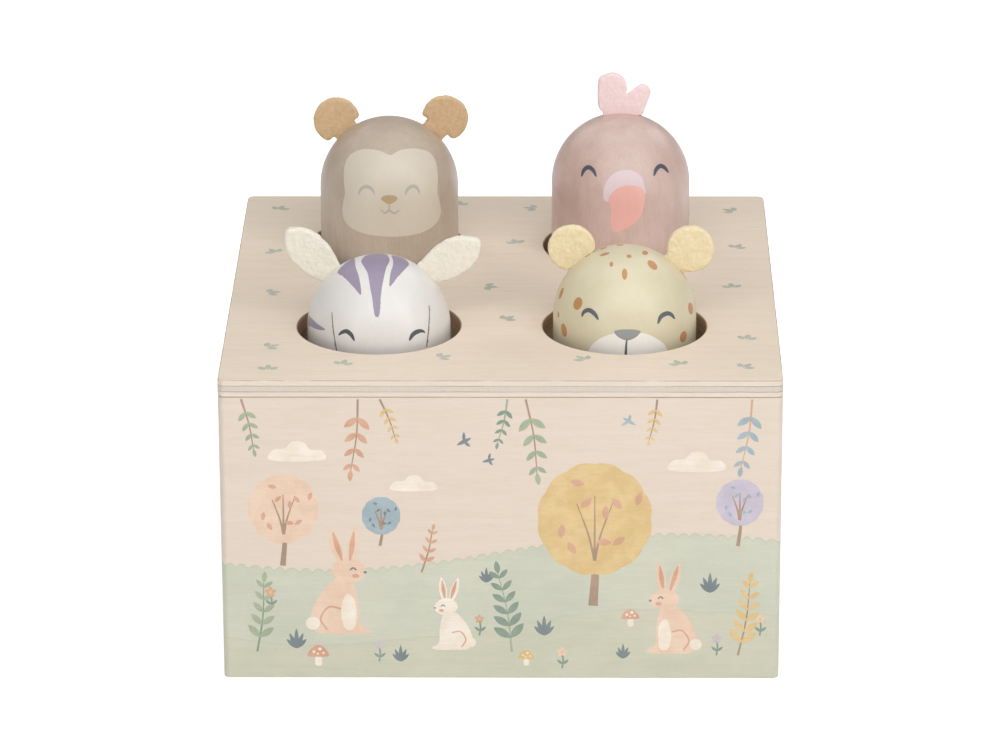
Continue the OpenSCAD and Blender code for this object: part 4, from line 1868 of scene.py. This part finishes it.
def leopard() -> Column:
    """The leopard, at the front right.

    Returns:
        Its column.
    """
    spot_ink = peg_ink("leopard_spot_ink", "#c08d5d", "#ad7748")
    white = peg_ink("leopard_muzzle_ink", "#f1eee8", "#e7e3dc")
    grey = peg_ink("leopard_nose_ink", "#989a98", "#84878a")
    dark = peg_ink("leopard_eye_ink", "#5f6368", "#4e5257")
    spots = [
        (-46, 24, 0, 1.6, 1.8, -4), (-76, 24, 0, 1.1, 1.7, 14), (-69, 8, 0, 0.6, 0.9, 19),
        (-58, 0, 0.5, 1.5, 1.9, 20), (70, 13, 0, 1.8, 1.7, -18), (54, 0, 2.0, 1.7, 1.6, -25),
        (-66, 72, 0, 1.4, 0.8, 66), (-26, 64, 0, 1.0, 0.5, 114),
        (-1, 55, 0, 0.75, 1.9, 1), (12, 75, 0, 0.7, 0.8, -7), (73, 73, 0, 0.8, 1.5, -85),
        (49, 60, 0, 1.4, 1.9, -21), (-103, 58, 0, 1.3, 1.0, 0), (-115, 71, 0, 1.1, 1.0, 0),
        (-157, 80, 0, 1.0, 1.1, 0), (98, 34, 0, 1.5, 1.9, 10), (-112, 34, 0, 1.6, 1.5, -12),
        (130, 56, 0, 1.3, 1.7, 30), (-140, 58, 0, 1.5, 1.3, 0),
        (180, 66, 0, 1.0, 1.6, 0), (152, 30, 0, 1.6, 1.9, -14), (-165, 34, 0, 1.4, 1.8, 22),
        (-128, 12, 0, 1.8, 1.5, 0), (120, 8, 0, 1.5, 1.8, 18), (178, 6, 0, 1.7, 1.5, -10),
        (-98, 0, 3.5, 1.5, 1.9, 8), (92, 0, 4.5, 1.7, 1.5, 0),
        (148, 0, 6.0, 1.4, 1.9, -20), (-150, 0, 5.5, 1.6, 1.8, 12), (-76, 0, 11, 1.6, 1.6, 0),
        (74, 0, 12, 1.5, 1.9, 20), (112, 0, 13, 1.7, 1.5, 0), (-118, 0, 13, 1.4, 1.8, -14),
        (170, 0, 14, 1.6, 1.8, 0), (-52, 0, 17, 1.4, 1.7, 10),
        (50, 0, 18, 1.6, 1.5, -8), (-92, 0, 20, 1.5, 1.8, 0), (96, 0, 21, 1.6, 1.7, 14),
        (140, 0, 21, 1.5, 1.8, 0), (-146, 0, 21, 1.7, 1.5, 0),
    ]
    marks = [Mark(oval(0, 0, rx, ry, turn, 22), Pad(around, up, drop))
             for around, up, drop, rx, ry, turn in spots]
    muzzle = [Mark(curve_through([(-9.9, -9.4), (-7.7, -7.1), (-5.0, -5.8), (-2.2, -5.2), (1.6, -5.2),
                                  (5.4, -5.3), (8.7, -6.7), (11.4, -9.0), (12.0, -13), (9.5, -18),
                                  (5, -20.8), (0, -21.6), (-5, -20.8), (-9.2, -18), (-11, -13)], True))]
    nose = [Mark(curve_through([(-3.1, -4.7), (-1.2, -4.2), (0.6, -4.2), (2.4, -4.2), (4.2, -4.7),
                                (3.3, -6.0), (1.8, -6.9), (0.5, -7.2), (-0.8, -6.9), (-2.3, -6.0)], True))]
    lines = [
        Mark(stroke([(0.4, -7.0), (0.2, -8.9), (0.1, -12.4)], lambda s: 0.4 + 0.45 * s)),
        Mark(stroke([(-5.6, -12.6), (-4.2, -14.6), (-1.8, -14.6), (0.1, -12.2), (2.0, -14.6), (4.4, -14.6),
                     (5.8, -12.6)], swell(0.75, 0.4))),
        Mark(eyelid([(-12.1, -0.6), (-11.5, 0.7), (-10.1, 1.2), (-8.6, 0.2), (-7.5, -1.5)], 1.25)),
        Mark(eyelid([(9.0, -2.6), (9.9, -0.6), (11.5, 0.3), (12.8, 0.0), (13.8, -1.2)], 1.25)),
    ]
    return Column(
        "leopard", SatinPaint("leopard_satin", "#d8cfb3", "#cac09e"),
        Felt("straw_wool", "#f1e0b9", "#e7d2a6"), "yellow_felt", ("ear_left", "ear_right"),
        [PegPrint("leopard_spots", spot_ink, marks), PegPrint("leopard_muzzle", white, muzzle),
         PegPrint("leopard_nose", grey, nose, 2), PegPrint("leopard_face_lines", dark, lines, 3)],
    )


def monkey() -> Column:
    """The monkey, at the back left.

    Returns:
        Its column.
    """
    mask_ink = peg_ink("monkey_mask_ink", "#d2c8b7", "#c8bead")
    camel = peg_ink("monkey_nose_ink", "#b8a27c", "#a8916b")
    light = peg_ink("monkey_eye_ink", "#b7b0a3", "#aaa397")
    mask = [Mark(curve_through([(0.9, 7.8), (3.6, 9.2), (6.9, 9.8), (10.2, 9.5), (12.6, 8.3), (14.0, 5.6),
                                (14.5, 1.6), (14.4, -2.6), (15.0, -5.6), (15.3, -8.6), (14.1, -11.5),
                                (11.4, -13.7), (7.4, -15.1), (1.2, -15.7), (-5.2, -15.1), (-9.6, -13.6),
                                (-12.4, -11.2), (-13.2, -8.4), (-12.8, -5.4), (-12.3, -3.2), (-12.6, 0.4),
                                (-12.5, 4.4), (-11.2, 7.6), (-8.4, 9.3), (-5.0, 9.6), (-1.8, 8.9)], True))]
    nose = [Mark(curve_through([(-1.7, -4.9), (-1.0, -4.1), (0.7, -3.8), (2.4, -4.1), (3.0, -4.9),
                                (2.2, -5.7), (0.6, -6.4), (-0.9, -5.7)], True, 0.25))]
    lines = [
        Mark(eyelid([(-8.4, -3.6), (-7.5, -2.0), (-6.0, -1.3), (-4.5, -2.0), (-3.6, -3.6)], 1.05)),
        Mark(eyelid([(5.2, -3.7), (6.0, -2.0), (7.4, -1.2), (8.7, -1.8), (9.4, -3.4)], 1.05)),
        Mark(stroke([(0.6, -6.3), (0.6, -7.2), (0.6, -8.1)], lambda s: 0.42)),
        Mark(stroke([(-1.8, -8.0), (-0.6, -8.9), (0.6, -8.2), (2.0, -9.0), (3.6, -8.0)], swell(0.6, 0.4),
                    0.25)),
    ]
    return Column(
        "monkey", SatinPaint("monkey_satin", "#c1b2a2", "#98836b"), Felt("camel_wool", "#d5b48c", "#c9a67b"),
        "camel_felt", ("ear_left", "ear_right"),
        [PegPrint("monkey_mask", mask_ink, mask), PegPrint("monkey_nose", camel, nose, 2),
         PegPrint("monkey_face_lines", light, lines, 2)],
    )


def flamingo() -> Column:
    """The flamingo, at the back right.

    Returns:
        Its column.
    """
    lilac = peg_ink("flamingo_brow_ink", "#dfccd0", "#d3bec4")
    coral = peg_ink("flamingo_beak_ink", "#eab3ab", "#e1a49b")
    pale = peg_ink("flamingo_beak_light_ink", "#ebb6ac", "#e3a99e")
    dark = peg_ink("flamingo_eye_ink", "#50545f", "#40444e")
    brow = [Mark(curve_through([(-4.2, -6.6), (-5.2, -4.2), (-4.6, -1.6), (-3.0, 0.8), (-0.7, 2.2),
                                (1.7, 2.5), (4.0, 2.0), (5.8, 0.5), (6.6, -1.7), (6.8, -4.6), (2.0, -6.4)],
                                True))]
    beak = [Mark(curve_through([(-3.7, -5.9), (-2.6, -4.0), (-1.0, -2.7), (1.2, -2.0), (3.6, -2.1),
                                (5.6, -2.7), (6.7, -3.5), (6.8, -5.9), (6.5, -8.2), (5.8, -10.4),
                                (4.6, -12.1), (2.7, -13.5), (0.2, -14.8), (-1.9, -15.3), (-2.7, -14.2),
                                (-3.0, -12.0), (-2.9, -9.3), (-3.3, -7.1)], True))]
    band = [Mark(curve_through([(4.4, -2.3), (6.6, -3.4), (6.75, -5.9), (6.45, -8.2), (5.75, -10.3),
                                (4.6, -12.0), (4.2, -11.6), (4.7, -9.3), (4.7, -5.9)], True))]
    lids = [
        Mark(eyelid([(-11.5, 0.7), (-10.8, 2.5), (-9.6, 3.4), (-8.2, 2.6), (-7.2, 0.6)], 1.25)),
        Mark(eyelid([(9.4, 0.8), (10.1, 2.8), (11.3, 3.8), (12.6, 3.3), (13.7, 1.9)], 1.25)),
    ]
    return Column(
        "flamingo", SatinPaint("flamingo_satin", "#d2bab1", "#ae877b"),
        Felt("rose_wool", "#f9e1e1", "#f1d5d6"), "pink_felt", ("crest",),
        [PegPrint("flamingo_brow", lilac, brow), PegPrint("flamingo_beak", coral, beak, 2),
         PegPrint("flamingo_beak_light", pale, band, 3), PegPrint("flamingo_face_lines", dark, lids, 1)],
    )


# ---- Camera, floor and light ----


# Height of the point that the lamps face, in metres
LAMP_AIM = 0.07


@dataclass(frozen=True)
class SoftLamp:
    """A soft rectangular lamp that faces the toy.

    Args:
        name: The lamp's name.
        turn: Degrees from the front, to the viewer's right.
        rise: Degrees above level.
        away: Distance from the toy, in metres.
        size: Its width and height, in metres.
        power: Its power, in watts.
    """

    name: str
    turn: float
    rise: float
    away: float
    size: Point
    power: float

    def hang(self) -> None:
        """Puts the lamp in its place."""
        data = bpy.data.lights.new(self.name, "AREA")
        data.shape = "RECTANGLE"
        data.size, data.size_y = self.size
        data.energy = self.power
        a, e = math.radians(self.turn), math.radians(self.rise)
        back = Vector((math.sin(a) * math.cos(e), -math.cos(a) * math.cos(e), math.sin(e)))
        lamp = bpy.data.objects.new(self.name, data)
        lamp.location = Vector((0, 0, LAMP_AIM)) + back * self.away
        lamp.rotation_euler = back.to_track_quat("Z", "Y").to_euler()
        bpy.context.scene.collection.objects.link(lamp)


LAMPS = (
    SoftLamp("key", 13, 48, 0.85, (0.9, 0.6), 4.2),
    SoftLamp("overhead", 0, 95, 1.3, (1.2, 0.8), 4.4),
    SoftLamp("left_softbox", -36, 20, 1.5, (0.36, 1.2), 3.7),
    SoftLamp("right_softbox", 52, 20, 1.5, (0.22, 1.2), 4.1),
    SoftLamp("back_left", -140, 35, 2.0, (0.9, 0.9), 4.6),
    SoftLamp("back_right", 140, 35, 2.0, (0.9, 0.9), 4.8),
)


@dataclass
class Studio:
    """Where the toy is photographed: a pale floor, a camera and soft lamps.

    Args:
        eye: Where the camera stands, in metres.
        pitch: How far it looks down, in degrees.
        yaw: How far it looks to the right.
        roll: How far it is tipped.
        lens: Its focal length, in millimetres.
        sensor: Width of its sensor.
        floor_gap: How far the floor lies below the toy, so that it hides nothing of its underside.
        floor_size: Half the floor's width, in metres.
        floor_grey: How much light the floor gives back.
        floor_glow: What is added to the floor where it is seen, so that it reads white.
        surround: The light from all round.
        inside_power: Power of the small lamp that opens up the box's inside, in watts.
    """

    eye: tuple[float, float, float] = (0.0164, -1.4212, 0.6057)
    pitch: float = 20.97
    yaw: float = -0.70
    roll: float = -0.21
    lens: float = 189.6
    sensor: float = 36.0
    floor_gap: float = 0.1
    floor_size: float = 6.0
    floor_grey: float = 0.86
    floor_glow: float = 0.55
    surround: float = 0.21
    inside_power: float = 0.012

    def camera(self) -> None:
        """Places the camera where the photograph was taken from."""
        pitch, yaw, roll = (math.radians(a) for a in (self.pitch, self.yaw, self.roll))
        ahead = Vector((math.sin(yaw) * math.cos(pitch), math.cos(yaw) * math.cos(pitch), -math.sin(pitch)))
        level = Vector((math.cos(yaw), -math.sin(yaw), 0))
        upward = level.cross(ahead)
        right = math.cos(roll) * level + math.sin(roll) * upward
        up = -math.sin(roll) * level + math.cos(roll) * upward
        data = bpy.data.cameras.new("camera")
        data.lens, data.sensor_width = self.lens, self.sensor
        data.clip_start, data.clip_end = 0.05, 20.0
        camera = bpy.data.objects.new("camera", data)
        turned = Matrix((right, up, -ahead)).transposed().to_4x4()
        camera.matrix_world = Matrix.Translation(self.eye) @ turned
        bpy.context.scene.collection.objects.link(camera)
        bpy.context.scene.camera = camera

    def floor(self) -> None:
        """Lays the floor, which reads white to the camera and still takes the toy's shadow."""
        bm = bmesh.new()
        bmesh.ops.create_grid(bm, x_segments=1, y_segments=1, size=self.floor_size)
        bmesh.ops.translate(bm, verts=bm.verts[:], vec=(0, 0, -self.floor_gap * MM))
        mesh = bpy.data.meshes.new("floor")
        bm.to_mesh(mesh)
        bm.free()
        floor = bpy.data.objects.new("floor", mesh)
        bpy.context.scene.collection.objects.link(floor)
        material = bpy.data.materials.new("floor_white")
        material.use_nodes = True
        tree = material.node_tree
        graph = Graph(tree)
        tree.nodes.remove(tree.nodes["Principled BSDF"])
        grey = self.floor_grey
        matt = graph.add("BsdfDiffuse", Color=(grey, grey, grey, 1))
        path = graph.add("LightPath")
        seen = graph.maths("MAXIMUM", path.outputs["Is Camera Ray"], path.outputs["Is Glossy Ray"])
        seen = graph.maths("MAXIMUM", seen, path.outputs["Is Transmission Ray"])
        glow = graph.add("Emission", Color=(1, 1, 1, 1),
                         Strength=graph.maths("MULTIPLY", seen, self.floor_glow))
        both = graph.add("AddShader", _0=matt.outputs[0], _1=glow.outputs[0])
        tree.links.new(both.outputs[0], tree.nodes["Material Output"].inputs[0])
        mesh.materials.append(material)

    def light(self) -> None:
        """Lights the toy softly from all round, with a tall softbox on each side."""
        world = bpy.data.worlds.new("studio")
        world.use_nodes = True
        world.node_tree.nodes["Background"].inputs["Color"].default_value = (1, 1, 1, 1)
        world.node_tree.nodes["Background"].inputs["Strength"].default_value = self.surround
        bpy.context.scene.world = world
        for lamp in LAMPS:
            lamp.hang()
        inside = bpy.data.lights.new("inside", "POINT")
        inside.energy, inside.shadow_soft_size = self.inside_power, 0.02
        glow = bpy.data.objects.new("inside", inside)
        glow.location = (0, 0, 0.05)
        bpy.context.scene.collection.objects.link(glow)

    def build(self) -> None:
        """Sets the studio up."""
        bpy.context.scene.view_settings.view_transform = "Standard"
        self.camera()
        self.floor()
        self.light()


def main() -> None:
    """Builds the studio, the box and the four columns."""
    logging.basicConfig(level=logging.INFO, format="%(name)s %(message)s")
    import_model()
    Studio().build()
    Box().build()
    for column in (zebra(), leopard(), monkey(), flamingo()):
        column.build()


if __name__ == "__main__":
    main()
